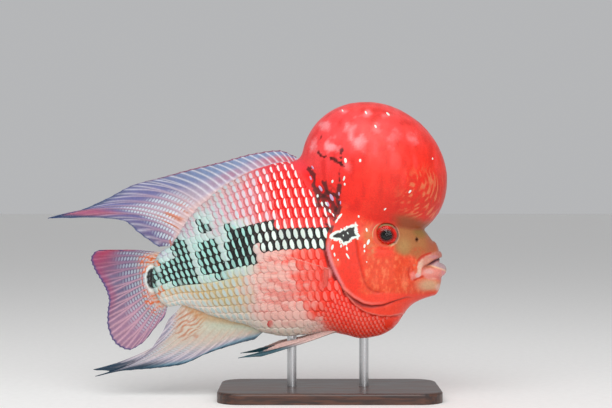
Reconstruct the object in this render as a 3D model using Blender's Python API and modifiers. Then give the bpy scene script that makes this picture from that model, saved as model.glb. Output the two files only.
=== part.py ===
"""Life-size still model of a flowerhorn cichlid on a plain display stand.

The fish faces +X and swims level with the X-Z plane, its right flank towards -Y. Its body is one smooth form
parted into head, trunk and tail root. The nuchal hump, lips, eyes and fins are solids of their own.
"""

import math

import bmesh
import bpy
from mathutils import Vector

MM = 0.001
GAP = 0.3 * MM
FIN_GAP = 0.35 * MM

# Body form in mm. Each row is a station along X: back height, belly height, half width, height of the widest
# point, then how full the section is above and below that point (2 is an ellipse, more is squarer).
BODY_STATIONS = (
    (-57.0, 112.0, 67.6, 7.5, 90.0, 2.2, 2.2),
    (-50.0, 123.5, 68.4, 9.2, 93.0, 2.1, 2.2),
    (-41.0, 137.0, 66.6, 11.8, 98.0, 2.0, 2.1),
    (-30.0, 147.8, 62.0, 15.0, 103.0, 1.9, 2.0),
    (-15.0, 159.2, 57.6, 19.6, 107.0, 1.85, 2.0),
    (0.0, 168.0, 53.8, 23.8, 108.0, 1.85, 2.0),
    (15.0, 173.4, 47.4, 26.8, 107.0, 1.9, 2.0),
    (30.0, 176.2, 45.5, 28.6, 105.0, 1.95, 2.05),
    (46.0, 176.4, 46.8, 29.6, 102.0, 2.05, 2.1),
    (60.0, 171.0, 48.9, 30.0, 100.0, 2.2, 2.1),
    (74.0, 163.0, 46.6, 30.0, 98.0, 2.4, 2.15),
    (86.0, 155.5, 44.0, 29.4, 97.0, 2.7, 2.2),
    (98.0, 148.8, 45.7, 28.4, 96.0, 3.1, 2.2),
    (108.0, 143.4, 50.2, 26.6, 96.0, 3.4, 2.2),
    (113.0, 140.6, 55.0, 24.8, 96.0, 3.4, 2.2),
    (118.0, 137.6, 62.6, 22.6, 96.0, 3.3, 2.2),
    (124.0, 133.2, 69.2, 19.8, 96.0, 3.0, 2.2),
    (131.0, 127.4, 73.0, 16.8, 95.0, 2.6, 2.2),
    (139.6, 116.8, 75.8, 13.0, 92.0, 2.3, 2.2),
)
TAIL_ROOT_DEPTH = 14.0 * MM
THIN_END = 0.3
SNOUT_DEPTH = 6.4 * MM
BODY_SEGMENTS = 36
CAP_ANGLES = (68.0, 48.0, 30.0, 14.0)
LONGEST_STEP = 8.0 * MM

# Nuchal hump: an egg that leans forwards over the brow.
HUMP_CENTRE = Vector((0.0959, 0.0, 0.1685))
HUMP_HALF_LENGTH = 0.0570
HUMP_HALF_HEIGHT = 0.0499
HUMP_HALF_WIDTH = 0.0375
HUMP_LEAN = math.radians(37.6)
HUMP_RINGS = 22
HUMP_SEGMENTS = 32

# Gill cover: its free edge stands this far off the trunk.
GILL_STEP = 1.3 * MM
GILL_STEP_TOP = 0.128
GILL_STEP_FADE = 0.010
GILL_STEP_EDGE = 2.0
# Side view of the gill opening, from the nape down and forwards under the throat (X, Z).
GILL_EDGE = (
    (0.0735, 0.185), (0.0715, 0.150), (0.0655, 0.134), (0.0600, 0.1225), (0.0588, 0.1110), (0.0618, 0.0995),
    (0.0672, 0.0885), (0.0740, 0.0775), (0.0808, 0.0698), (0.0885, 0.0650), (0.0975, 0.0625), (0.1060, 0.0618),
    (0.1150, 0.0628), (0.1260, 0.0560),
)
HEAD_FRONT = 0.175
CUT_HALF_WIDTH = 0.060

# Cut between trunk and tail root, from the end of the dorsal fin to the end of the anal fin (X, Z).
TAIL_CUT_TOP = (-0.0605, 0.112)
TAIL_CUT_BOTTOM = (-0.0487, 0.066)

# Eyes: flattened balls that stand a little out of the cheek.
EYE_X = 0.1034
EYE_Z = 0.1216
EYE_RADIUS = 8.7 * MM
EYE_HALF_DEPTH = 5.6 * MM
EYE_STAND_OUT = 2.5 * MM

# Lips: each row is a place from the corner of the mouth (0) to its middle (1), the centre of the lip there
# (X, Y, Z) and the lip's radius. The last row lies past the middle, so that the front comes out round.
UPPER_LIP_POINTS = (
    (0.0, 0.1242, 0.0183, 0.0912, 0.0017), (0.2, 0.1276, 0.0178, 0.0952, 0.0020),
    (0.4, 0.1296, 0.0172, 0.0996, 0.0022), (0.6, 0.1348, 0.0148, 0.1032, 0.0024),
    (0.8, 0.1408, 0.0108, 0.1054, 0.0026), (1.0, 0.1438, 0.0000, 0.1066, 0.0028),
    (1.2, 0.1408, -0.0108, 0.1054, 0.0026),
)
LOWER_LIP_POINTS = (
    (0.00, 0.1240, 0.0182, 0.0886, 0.0019), (0.25, 0.1292, 0.0164, 0.0912, 0.0030),
    (0.50, 0.1350, 0.0138, 0.0934, 0.0040), (0.75, 0.1414, 0.0096, 0.0950, 0.0046),
    (1.00, 0.1452, 0.0000, 0.0957, 0.0047), (1.25, 0.1414, -0.0096, 0.0950, 0.0046),
)
LIP_STEPS = 22
CLEFT_CENTRE = Vector((0.1470, 0.0, 0.1004))
CLEFT_HALF_SIZES = (0.0110, 0.0100, 0.0027)
NOSTRIL = Vector((0.1262, 0.0, 0.1178))
NOSTRIL_RADIUS = 1.0 * MM

# Stand: a plinth and two rods that plug into it and into the belly.
BASE_LENGTH, BASE_WIDTH, BASE_THICKNESS = 0.165, 0.092, 0.008
BASE_CENTRE_X = 0.062
BASE_CORNER = 0.018
BASE_EDGE = 1.5 * MM
ROD_RADIUS = 3.5 * MM
ROD_X = (0.0340, 0.0880)
ROD_TOPS = (0.0560, 0.0560)
ROD_PLUG = 4.0 * MM
ROD_SIDES = 20

# Fins. Thickness of the membrane and how far the rays stand out, at the root and at the margin.
ROOT_MEMBRANE, EDGE_MEMBRANE = 1.0 * MM, 0.5 * MM
ROOT_RAY, EDGE_RAY = 1.9 * MM, 0.8 * MM

# Each middle fin is a fan of key rays. A row is the ray's place along the fin from 0 to 1, X of its root on the
# body's outline, its tip (X, Z) and how far it bows out to its front side, as a share of its length.
DORSAL_RAYS = (
    (0.00, 0.0405, 0.0372, 0.1800, 0.00), (0.10, 0.0320, 0.0236, 0.1850, 0.06),
    (0.22, 0.0176, 0.0045, 0.1824, 0.07), (0.36, -0.0011, -0.0184, 0.1763, 0.07),
    (0.50, -0.0184, -0.0424, 0.1705, 0.08), (0.60, -0.0298, -0.0649, 0.1642, 0.10),
    (0.67, -0.0362, -0.0851, 0.1588, 0.11), (0.73, -0.0408, -0.1054, 0.1484, 0.12),
    (0.78, -0.0442, -0.1279, 0.1388, 0.12), (0.83, -0.0470, -0.1499, 0.1336, 0.12),
    (0.88, -0.0494, -0.1166, 0.1343, 0.12), (0.92, -0.0514, -0.0934, 0.1321, 0.11),
    (0.96, -0.0537, -0.0814, 0.1228, 0.10), (1.00, -0.0562, -0.0664, 0.1122, 0.05),
)
ANAL_RAYS = (
    (0.00, 0.0132, 0.0060, 0.0432, 0.00), (0.10, 0.0058, -0.0104, 0.0388, 0.05),
    (0.22, -0.0034, -0.0304, 0.0322, 0.08), (0.34, -0.0116, -0.0499, 0.0238, 0.09),
    (0.45, -0.0191, -0.0724, 0.0208, 0.09), (0.54, -0.0259, -0.0934, 0.0191, 0.10),
    (0.60, -0.0304, -0.1144, 0.0148, 0.10), (0.65, -0.0334, -0.1030, 0.0188, 0.10),
    (0.70, -0.0356, -0.1159, 0.0199, 0.10), (0.76, -0.0386, -0.0949, 0.0220, 0.10),
    (0.82, -0.0416, -0.0821, 0.0278, 0.10), (0.88, -0.0438, -0.0724, 0.0354, 0.09),
    (0.94, -0.0460, -0.0649, 0.0455, 0.08), (1.00, -0.0480, -0.0582, 0.0583, 0.04),
)
# The tail fin's roots go round the end of the tail root: the second number is an angle in degrees, 90 being up.
CAUDAL_RAYS = (
    (0.00, 62.0, -0.0940, 0.1096, 0.03), (0.08, 52.0, -0.1114, 0.1096, 0.04),
    (0.16, 41.0, -0.1174, 0.1032, 0.05), (0.24, 28.0, -0.1144, 0.0950, 0.04),
    (0.32, 16.0, -0.1092, 0.0868, 0.03), (0.40, 5.0, -0.1050, 0.0792, 0.02),
    (0.47, -5.0, -0.1031, 0.0718, 0.00), (0.54, -15.0, -0.1042, 0.0642, -0.02),
    (0.61, -25.0, -0.1046, 0.0552, -0.03), (0.68, -35.0, -0.1024, 0.0455, -0.04),
    (0.75, -46.0, -0.0971, 0.0380, -0.05), (0.82, -57.0, -0.0889, 0.0346, -0.05),
    (0.89, -67.0, -0.0790, 0.0395, -0.05), (0.95, -75.0, -0.0688, 0.0515, -0.04),
    (1.00, -82.0, -0.0618, 0.0594, -0.02),
)
DORSAL_COUNT, ANAL_COUNT, CAUDAL_COUNT = 27, 15, 16
DORSAL_ROWS, ANAL_ROWS, CAUDAL_ROWS = 9, 10, 8
# Sideways waves of the membranes: size at the margin, waves along the fin, and phase.
DORSAL_WAVE = (2.4 * MM, 1.3, 0.4)
ANAL_WAVE = (-2.2 * MM, 1.0, 0.9)
CAUDAL_WAVE = (3.0 * MM, 1.5, 0.2)

# Paired fins: the same kind of rows, with the distance from the middle plane after each height.
PECTORAL_RAYS = (
    (0.00, 0.0608, 0.0975, 0.0221, 0.0395, 0.1100), (0.12, 0.0610, 0.0956, 0.0130, 0.0408, 0.1062),
    (0.28, 0.0610, 0.0934, 0.0071, 0.0420, 0.0988), (0.45, 0.0609, 0.0911, 0.0054, 0.0424, 0.0884),
    (0.62, 0.0607, 0.0890, 0.0070, 0.0420, 0.0778), (0.80, 0.0604, 0.0869, 0.0122, 0.0406, 0.0688),
    (1.00, 0.0600, 0.0848, 0.0262, 0.0384, 0.0610),
)
PECTORAL_COUNT, PECTORAL_ROWS = 13, 7
# How much faster the pectoral fin leaves the flank at its root than at its margin.
PECTORAL_FLARE = 0.15
PELVIC_ROOT_FRONT = (0.0678, 0.0080)
PELVIC_ROOT_BACK = (0.0598, 0.0050)
PELVIC_RAYS = (
    (0.0, 0.0116, 0.0165, 0.0320), (0.2, -0.0056, 0.0172, 0.0307), (0.4, 0.0108, 0.0160, 0.0352),
    (0.6, 0.0186, 0.0142, 0.0384), (0.8, 0.0240, 0.0120, 0.0408), (1.0, 0.0300, 0.0096, 0.0424),
)
PELVIC_COUNT, PELVIC_ROWS = 6, 9
PELVIC_DROP, PELVIC_SAG = 0.9 * MM, 0.9 * MM

# Finish of each kind of piece: colour, roughness and metallic value.
FINISHES = {
    "red_skin": ((0.80, 0.06, 0.03), 0.35, 0.0),
    "pale_skin": ((0.78, 0.62, 0.55), 0.35, 0.0),
    "fin_membrane": ((0.50, 0.40, 0.55), 0.30, 0.0),
    "clear_membrane": ((0.85, 0.55, 0.50), 0.30, 0.0),
    "lip": ((0.85, 0.35, 0.28), 0.30, 0.0),
    "eye": ((0.45, 0.02, 0.01), 0.08, 0.0),
    "stained_wood": ((0.09, 0.04, 0.02), 0.40, 0.0),
    "rod_steel": ((0.60, 0.60, 0.62), 0.30, 1.0),
}


def clear_scene():
    for item in list(bpy.data.objects):
        bpy.data.objects.remove(item)


def new_collection(name, hidden=False):
    made = bpy.data.collections.new(name)
    made.hide_render = hidden
    bpy.context.scene.collection.children.link(made)
    return made


def finish_material(name):
    known = bpy.data.materials.get(name)
    if known:
        return known
    colour, roughness, metallic = FINISHES[name]
    made = bpy.data.materials.new(name)
    made.use_nodes = True
    shader = made.node_tree.nodes["Principled BSDF"]
    shader.inputs["Base Color"].default_value = (*colour, 1.0)
    shader.inputs["Roughness"].default_value = roughness
    shader.inputs["Metallic"].default_value = metallic
    return made


def keep_as(item, name, collection, finish=None):
    """Names a new object and moves it into its collection."""
    item.name = name
    item.data.name = name
    for holder in list(item.users_collection):
        holder.objects.unlink(item)
    collection.objects.link(item)
    if finish:
        item.data.materials.clear()
        item.data.materials.append(finish_material(finish))
    if collection.hide_render:
        item.hide_render = True
        item.display_type = "WIRE"
    return item


def slopes(xs, ys):
    """Slopes of a smooth curve through the points that doesn't overshoot them."""
    steps = [(ys[i + 1] - ys[i]) / (xs[i + 1] - xs[i]) for i in range(len(xs) - 1)]
    found = [steps[0]]
    for before, after in zip(steps, steps[1:]):
        found.append(0.0 if before * after <= 0 else 2 * before * after / (before + after))
    found.append(steps[-1])
    return found


def between(table, x):
    """The row of a table at x, its first column, on smooth curves through its rows."""
    xs = [row[0] for row in table]
    x = min(max(x, xs[0]), xs[-1])
    i = max(k for k in range(len(xs) - 1) if xs[k] <= x)
    span = xs[i + 1] - xs[i]
    t = (x - xs[i]) / span
    values = []
    for column in range(1, len(table[0])):
        ys = [row[column] for row in table]
        m = slopes(xs, ys)
        values.append(
            ys[i] * (1 + 2 * t) * (1 - t) ** 2
            + m[i] * span * t * (1 - t) ** 2
            + ys[i + 1] * t * t * (3 - 2 * t)
            + m[i + 1] * span * t * t * (t - 1)
        )
    return values


FIRST_STATION = BODY_STATIONS[0][0] * MM
LAST_STATION = BODY_STATIONS[-1][0] * MM


def section(x):
    """Back, belly, half width, widest height and fullness of the body at x, rounded off at both ends."""
    back, belly, width, widest, crown, keel = between(BODY_STATIONS, x / MM)
    back, belly, width, widest = back * MM, belly * MM, width * MM, widest * MM
    past, depth = 0.0, 1.0
    if x < FIRST_STATION:
        past, depth = FIRST_STATION - x, TAIL_ROOT_DEPTH
    if x > LAST_STATION:
        past, depth = x - LAST_STATION, SNOUT_DEPTH
    round_off = math.sqrt(max(0.0, 1 - (past / depth) ** 2))
    back = widest + (back - widest) * round_off
    belly = widest + (belly - widest) * round_off
    width *= THIN_END + (1 - THIN_END) * round_off if past and x < 0 else round_off
    return back, belly, width, widest, crown, keel


def gill_lift(z):
    """How far the gill cover stands off the trunk's own surface."""
    fade = (GILL_STEP_TOP - z) / GILL_STEP_FADE
    return GILL_STEP * min(1.0, max(0.0, fade))


def body_point(x, angle, grow=0.0, gill=False):
    """A point of the body's skin. Angle 0 is the left flank and a quarter turn is the back."""
    back, belly, width, widest, crown, keel = section(x)
    up = math.sin(angle)
    out = math.cos(angle)
    power = 2 / (crown if up >= 0 else keel)
    reach = (back - widest if up >= 0 else widest - belly) + grow
    z = widest + math.copysign(abs(up) ** power, up) * reach
    side = abs(out) ** power
    y = side * (width + grow)
    if gill:
        y += min(side * GILL_STEP_EDGE, 1.0) * gill_lift(z)
    return Vector((x, math.copysign(y, out), z))


def flank(x, z, gill=False):
    """Half width of the body at a place in the side view."""
    back, belly, width, widest, crown, keel = section(x)
    reach = back - widest if z >= widest else widest - belly
    full = crown if z >= widest else keel
    side = max(0.0, 1 - abs((z - widest) / reach) ** full) ** (1 / full)
    lift = min(side * GILL_STEP_EDGE, 1.0) * gill_lift(z) if gill else 0.0
    return side * width + lift


def station_list():
    """X of each ring of the body, close together where the form turns fast."""
    marks = [row[0] * MM for row in BODY_STATIONS]
    stops = []
    for here, after in zip(marks, marks[1:]):
        pieces = max(1, math.ceil((after - here) / LONGEST_STEP))
        stops += [here + (after - here) * k / pieces for k in range(pieces)]
    stops.append(marks[-1])
    tail = [FIRST_STATION - TAIL_ROOT_DEPTH * math.sin(math.radians(a)) for a in CAP_ANGLES]
    snout = [LAST_STATION + SNOUT_DEPTH * math.sin(math.radians(a)) for a in reversed(CAP_ANGLES)]
    return tail + stops + snout


def body_form(name, collection, grow=0.0, gill=False):
    """A sphere whose rings are moved to the body's stations, with its poles at the tail root and the snout."""
    stops = station_list()
    rings = len(stops) + 1
    bpy.ops.mesh.primitive_uv_sphere_add(segments=BODY_SEGMENTS, ring_count=rings, radius=1.0)
    form = bpy.context.object
    tail_end = FIRST_STATION - TAIL_ROOT_DEPTH - grow
    snout_end = LAST_STATION + SNOUT_DEPTH + grow
    for vertex in form.data.vertices:
        ring = round(math.acos(max(-1.0, min(1.0, vertex.co.z))) / (math.pi / rings))
        angle = math.atan2(vertex.co.y, vertex.co.x)
        if ring == 0:
            vertex.co = (snout_end, 0.0, section(snout_end)[3])
        elif ring == rings:
            vertex.co = (tail_end, 0.0, section(tail_end)[3])
        else:
            vertex.co = body_point(stops[len(stops) - ring], angle, grow, gill)
    return face_outwards(keep_as(form, name, collection))


def face_outwards(item):
    mesh = bmesh.new()
    mesh.from_mesh(item.data)
    bmesh.ops.recalc_face_normals(mesh, faces=mesh.faces)
    mesh.to_mesh(item.data)
    mesh.free()
    return item


def hump_form(name, collection):
    """The nuchal hump before it is cut to sit on the head."""
    bpy.ops.mesh.primitive_uv_sphere_add(
        segments=HUMP_SEGMENTS, ring_count=HUMP_RINGS, radius=1.0, location=HUMP_CENTRE,
        rotation=(0.0, HUMP_LEAN, 0.0),
    )
    form = bpy.context.object
    form.scale = (HUMP_HALF_LENGTH, HUMP_HALF_WIDTH, HUMP_HALF_HEIGHT)
    bpy.ops.object.transform_apply(location=True, rotation=True, scale=True)
    return keep_as(form, name, collection)


def cut_region(name, outline, collection):
    """A closed outline in the side view, as a block that passes through the whole body."""
    flat = bpy.data.curves.new(name, "CURVE")
    flat.dimensions = "2D"
    flat.fill_mode = "BOTH"
    flat.extrude = CUT_HALF_WIDTH
    line = flat.splines.new("POLY")
    line.points.add(len(outline) - 1)
    for point, (x, z) in zip(line.points, outline):
        point.co = (x, z, 0.0, 1.0)
    line.use_cyclic_u = True
    block = bpy.data.objects.new(name + "_curve", flat)
    bpy.context.scene.collection.objects.link(block)
    block.rotation_euler = (math.radians(90.0), 0.0, 0.0)
    bpy.context.view_layer.update()
    return keep_as(mesh_of(block, name), name, collection)


def mesh_of(curve, name):
    """A curve object made a closed mesh, with its caps welded on."""
    graph = bpy.context.evaluated_depsgraph_get()
    shape = bpy.data.meshes.new_from_object(curve.evaluated_get(graph))
    work = bmesh.new()
    work.from_mesh(shape)
    bmesh.ops.remove_doubles(work, verts=work.verts, dist=0.01 * MM)
    bmesh.ops.recalc_face_normals(work, faces=work.faces)
    work.to_mesh(shape)
    work.free()
    made = bpy.data.objects.new(name, shape)
    made.matrix_world = curve.matrix_world.copy()
    bpy.context.scene.collection.objects.link(made)
    bpy.data.objects.remove(curve)
    return made


def pushed_out(line, distance):
    """An open line in the side view moved sideways, to its left, by a distance."""
    moved = []
    for i, point in enumerate(line):
        before = Vector(line[max(i - 1, 0)])
        after = Vector(line[min(i + 1, len(line) - 1)])
        along = (after - before).normalized()
        moved.append((point[0] - along.y * distance, point[1] + along.x * distance))
    return moved


def cut(item, cutter, operation="DIFFERENCE"):
    change = item.modifiers.new("cut_" + cutter.name, "BOOLEAN")
    change.operation = operation
    change.solver = "EXACT"
    change.object = cutter
    bpy.context.view_layer.objects.active = item
    bpy.ops.object.modifier_apply(modifier=change.name)


def keep_largest(item):
    """Drops loose scraps that a cut leaves, so that the node is one closed body."""
    work = bmesh.new()
    work.from_mesh(item.data)
    bmesh.ops.remove_doubles(work, verts=work.verts, dist=0.01 * MM)
    bmesh.ops.dissolve_degenerate(work, edges=work.edges, dist=0.005 * MM)
    bmesh.ops.triangulate(work, faces=work.faces)
    groups, seen = [], set()
    for start in work.verts:
        if start in seen:
            continue
        group, waiting = [], [start]
        seen.add(start)
        while waiting:
            vertex = waiting.pop()
            group.append(vertex)
            for edge in vertex.link_edges:
                other = edge.other_vert(vertex)
                if other not in seen:
                    seen.add(other)
                    waiting.append(other)
        groups.append(group)
    groups.sort(key=len)
    for group in groups[:-1]:
        bmesh.ops.delete(work, geom=group, context="VERTS")
    work.to_mesh(item.data)
    work.free()
    return item


def lip(name, points, collection, grow=0.0):
    """A lip: a tapered tube from one corner of the mouth round the front to the other."""
    path = bpy.data.curves.new(name, "CURVE")
    path.dimensions = "3D"
    path.bevel_depth = 1.0
    path.bevel_resolution = 3
    path.use_fill_caps = True
    line = path.splines.new("POLY")
    line.points.add(LIP_STEPS)
    for k, point in enumerate(line.points):
        share = 1 - abs(2 * k / LIP_STEPS - 1)
        x, y, z, radius = between(points, share)
        point.co = (x, math.copysign(y, k - LIP_STEPS / 2), z, 1.0)
        point.radius = radius + grow
    tube = bpy.data.objects.new(name + "_curve", path)
    bpy.context.scene.collection.objects.link(tube)
    bpy.context.view_layer.update()
    return keep_as(mesh_of(tube, name), name, collection)


def eye(name, side, collection, grow=0.0):
    reach = flank(EYE_X, EYE_Z) + EYE_STAND_OUT - EYE_HALF_DEPTH
    bpy.ops.mesh.primitive_uv_sphere_add(
        segments=22, ring_count=11, radius=1.0, location=(EYE_X, side * reach, EYE_Z),
        rotation=(math.radians(90.0), 0.0, 0.0),
    )
    ball = bpy.context.object
    ball.scale = (EYE_RADIUS + grow, EYE_RADIUS + grow, EYE_HALF_DEPTH + grow)
    bpy.ops.object.transform_apply(location=True, rotation=True, scale=True)
    return keep_as(ball, name, collection)


def ball_cutter(name, centre, half_sizes, collection):
    bpy.ops.mesh.primitive_uv_sphere_add(segments=16, ring_count=10, radius=1.0, location=centre)
    ball = bpy.context.object
    ball.scale = half_sizes
    bpy.ops.object.transform_apply(location=True, rotation=True, scale=True)
    return keep_as(ball, name, collection)


def build_flesh(parts, cutters):
    """Head, trunk and tail root, parted at the gill opening and at the end of the fins."""
    trunk = body_form("trunk", parts)
    tail_root = body_form("tail_root", parts)
    head = body_form("head", parts, gill=True)

    closing = [(HEAD_FRONT, GILL_EDGE[-1][1]), (HEAD_FRONT, GILL_EDGE[0][1])]
    inner = cut_region("head_region", pushed_out(GILL_EDGE, GAP / 2) + closing, cutters)
    outer = cut_region("head_region_with_gap", pushed_out(GILL_EDGE, -GAP / 2) + closing, cutters)
    cut(head, inner, "INTERSECT")
    cut(trunk, outer)

    tail_line = [TAIL_CUT_TOP, TAIL_CUT_BOTTOM]
    along = (Vector(TAIL_CUT_BOTTOM) - Vector(TAIL_CUT_TOP)).normalized() * 0.03
    tail_line = [tuple(Vector(TAIL_CUT_TOP) - along), tuple(Vector(TAIL_CUT_BOTTOM) + along)]
    behind = [(-0.12, tail_line[1][1]), (-0.12, tail_line[0][1])]
    cut(tail_root, cut_region("tail_region", pushed_out(tail_line, -GAP / 2) + behind, cutters), "INTERSECT")
    cut(trunk, cut_region("tail_region_with_gap", pushed_out(tail_line, GAP / 2) + behind, cutters))

    hump = hump_form("nuchal_hump", parts)
    cut(hump, body_form("body_with_gap", cutters, grow=GAP))

    for label, side in (("right", -1), ("left", 1)):
        item = eye("eye_" + label, side, parts)
        item.data.materials.append(finish_material("eye"))
        socket = eye("socket_" + label, side, cutters, grow=GAP)
        cut(head, socket)
        cut(hump, socket)
        at = Vector((NOSTRIL.x, side * flank(NOSTRIL.x, NOSTRIL.z), NOSTRIL.z))
        cut(head, ball_cutter("nostril_" + label, at, [NOSTRIL_RADIUS] * 3, cutters))

    cut(head, ball_cutter("cleft", CLEFT_CENTRE, CLEFT_HALF_SIZES, cutters))
    lips = []
    for label, points in (("upper_lip", UPPER_LIP_POINTS), ("lower_lip", LOWER_LIP_POINTS)):
        item = lip(label, points, parts)
        groove = lip(label + "_groove", points, cutters, grow=GAP)
        cut(head, groove)
        lips.append((item, groove))
    cut(lips[1][0], lips[0][1])
    for item, _ in lips:
        item.data.materials.clear()
        item.data.materials.append(finish_material("lip"))

    for item, finish in ((head, "red_skin"), (trunk, "pale_skin"), (tail_root, "pale_skin"), (hump, "red_skin")):
        item.data.materials.clear()
        item.data.materials.append(finish_material(finish))
    return [head, trunk, tail_root, hump] + [item for item, _ in lips]


def ray_path(root, tip, bow, t):
    """A point of a bowed ray in the side view, t from 0 at its root to 1 at its tip. It bows most near its root."""
    root, tip = Vector(root), Vector(tip)
    chord = tip - root
    side = Vector((-chord.y, chord.x))
    return root + chord * t + side * (bow * 4 * t * (1 - t) * (1 - 0.25 * t))


def thickness_at(u, t, count):
    """Thickness of a fin: rays stand out of the membrane, and both thin out to the margin."""
    phase = abs(math.sin(math.pi * count * u))
    membrane = ROOT_MEMBRANE + (EDGE_MEMBRANE - ROOT_MEMBRANE) * t
    ray = ROOT_RAY + (EDGE_RAY - ROOT_RAY) * t
    return membrane + (ray - membrane) * phase


def fin_sheet(name, count, rows, place, collection, finish="fin_membrane"):
    """A grid laid along the rays, two columns to a ray, given the fin's own thickness."""
    bpy.ops.mesh.primitive_grid_add(x_subdivisions=2 * count, y_subdivisions=rows, size=1.0)
    sheet = keep_as(bpy.context.object, name, collection, finish)
    weights = sheet.vertex_groups.new(name="thickness")
    for vertex in sheet.data.vertices:
        u, t = vertex.co.x + 0.5, vertex.co.y + 0.5
        weights.add([vertex.index], thickness_at(u, t, count) / ROOT_RAY, "REPLACE")
        vertex.co = place(u, t)
    split = sheet.modifiers.new("split_alike", "TRIANGULATE")
    split.quad_method = "FIXED"
    thick = sheet.modifiers.new("thickness", "SOLIDIFY")
    thick.thickness = ROOT_RAY
    thick.offset = 0.0
    thick.use_rim = True
    thick.vertex_group = weights.name
    return sheet


def outline_root(x, upper):
    """A fin root at x, just off the back (upper) or the belly."""
    edge = 0 if upper else 1
    step = 0.5 * MM
    ahead, behind = section(x + step)[edge], section(x - step)[edge]
    slope = (ahead - behind) / (2 * step)
    normal = Vector((-slope, 1.0)).normalized() * (1 if upper else -1)
    return Vector((x, section(x)[edge])) + normal * FIN_GAP


def tail_end_root(degrees):
    """A fin root just off the rounded end of the tail root."""
    back, belly, _, widest, _, _ = section(FIRST_STATION)
    angle = math.radians(degrees)
    reach = back - widest if degrees > 0 else widest - belly
    return Vector((
        FIRST_STATION - (TAIL_ROOT_DEPTH + FIN_GAP) * math.cos(angle),
        widest + (reach + FIN_GAP) * math.sin(angle),
    ))


def middle_fin(name, table, count, rows, wave, bow_side, root_of, collection):
    """A dorsal, anal or tail fin, whose root stands just off the body in the middle plane."""
    size, waves, phase = wave

    def place(u, t):
        root, tip_x, tip_z, bow = between(table, u)
        x, z = ray_path(root_of(root), (tip_x, tip_z), bow * bow_side, t)
        sway = size * t * t * math.sin(2 * math.pi * (waves * u) + phase)
        return (x, sway, z)

    return fin_sheet(name, count, rows, place, collection)


def pectoral_fin(name, side, collection):
    """A clear fan that springs from behind the gill cover and lies back off the flank."""

    def place(u, t):
        root_x, root_z, tip_x, tip_y, tip_z = between(PECTORAL_RAYS, u)
        x = root_x + (tip_x - root_x) * t
        z = root_z + (tip_z - root_z) * t
        root_y = flank(root_x, root_z) + GAP + ROOT_RAY / 2
        y = root_y + (tip_y - root_y) * ((1 + PECTORAL_FLARE) * t - PECTORAL_FLARE * t * t)
        return (x, side * y, z)

    return fin_sheet(name, PECTORAL_COUNT, PECTORAL_ROWS, place, collection, "clear_membrane")


def pelvic_fin(name, side, collection):
    """A narrow fin under the belly with a long first ray."""
    front, back = Vector(PELVIC_ROOT_FRONT), Vector(PELVIC_ROOT_BACK)

    def belly_under(x, y):
        _, belly, width, widest, _, keel = section(x)
        share = max(0.0, 1 - (y / width) ** keel) ** (1 / keel)
        return widest - (widest - belly) * share

    def place(u, t):
        tip_x, tip_y, tip_z = between(PELVIC_RAYS, u)
        root_x, root_y = front.lerp(back, u)
        root_z = belly_under(root_x, root_y + ROOT_RAY / 2) - GAP - PELVIC_DROP
        x = root_x + (tip_x - root_x) * t
        y = root_y + (tip_y - root_y) * t
        sag = PELVIC_SAG * math.sin(math.pi * t)
        z = root_z + (tip_z - root_z) * t - sag
        return (x, side * y, z)

    return fin_sheet(name, PELVIC_COUNT, PELVIC_ROWS, place, collection)


def build_fins(parts):
    back, belly = (lambda x: outline_root(x, True)), (lambda x: outline_root(x, False))
    middle_fin("dorsal_fin", DORSAL_RAYS, DORSAL_COUNT, DORSAL_ROWS, DORSAL_WAVE, -1, back, parts)
    middle_fin("anal_fin", ANAL_RAYS, ANAL_COUNT, ANAL_ROWS, ANAL_WAVE, 1, belly, parts)
    middle_fin("tail_fin", CAUDAL_RAYS, CAUDAL_COUNT, CAUDAL_ROWS, CAUDAL_WAVE, -1, tail_end_root, parts)
    for label, side in (("right", -1), ("left", 1)):
        pectoral_fin("pectoral_fin_" + label, side, parts)
        pelvic_fin("pelvic_fin_" + label, side, parts)


def rod(name, x, top, collection, grow=0.0):
    bottom = BASE_THICKNESS - ROD_PLUG - grow
    height = top + grow - bottom
    bpy.ops.mesh.primitive_cylinder_add(
        vertices=ROD_SIDES, radius=ROD_RADIUS + grow, depth=height, location=(x, 0.0, bottom + height / 2)
    )
    return keep_as(bpy.context.object, name, collection, "rod_steel")


def stand_base(collection):
    bpy.ops.mesh.primitive_cube_add(size=1.0, location=(BASE_CENTRE_X, 0.0, BASE_THICKNESS / 2))
    plate = bpy.context.object
    plate.scale = (BASE_LENGTH, BASE_WIDTH, BASE_THICKNESS)
    bpy.ops.object.transform_apply(location=False, rotation=False, scale=True)
    work = bmesh.new()
    work.from_mesh(plate.data)
    upright = [e for e in work.edges if abs(e.verts[0].co.z - e.verts[1].co.z) > BASE_THICKNESS / 2]
    bmesh.ops.bevel(work, geom=upright, offset=BASE_CORNER, segments=8, profile=0.5, affect="EDGES")
    top_rim = [e for e in work.edges if all(v.co.z > BASE_THICKNESS / 2 - 0.01 * MM for v in e.verts)]
    bmesh.ops.bevel(work, geom=top_rim, offset=BASE_EDGE, segments=2, profile=0.5, affect="EDGES")
    work.to_mesh(plate.data)
    work.free()
    return keep_as(plate, "stand_base", collection, "stained_wood")


def build_stand(parts, cutters, trunk):
    base = stand_base(parts)
    for number, (x, top) in enumerate(zip(ROD_X, ROD_TOPS), start=1):
        rod(f"stand_rod_{number}", x, top, parts)
        socket = rod(f"rod_socket_{number}", x, top, cutters, grow=GAP)
        cut(base, socket)
        cut(trunk, socket)
    return base


def main():
    clear_scene()
    parts = new_collection("flowerhorn_cichlid")
    cutters = new_collection("cutters", hidden=True)
    flesh = build_flesh(parts, cutters)
    build_fins(parts)
    base = build_stand(parts, cutters, flesh[1])
    for item in [*flesh, base]:
        keep_largest(item)


main()
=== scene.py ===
"""Looks of a life-size flowerhorn cichlid on its display stand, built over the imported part."""

import itertools
import math

import bmesh
import bpy
import numpy as np
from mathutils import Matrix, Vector
from mathutils.bvhtree import BVHTree


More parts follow.
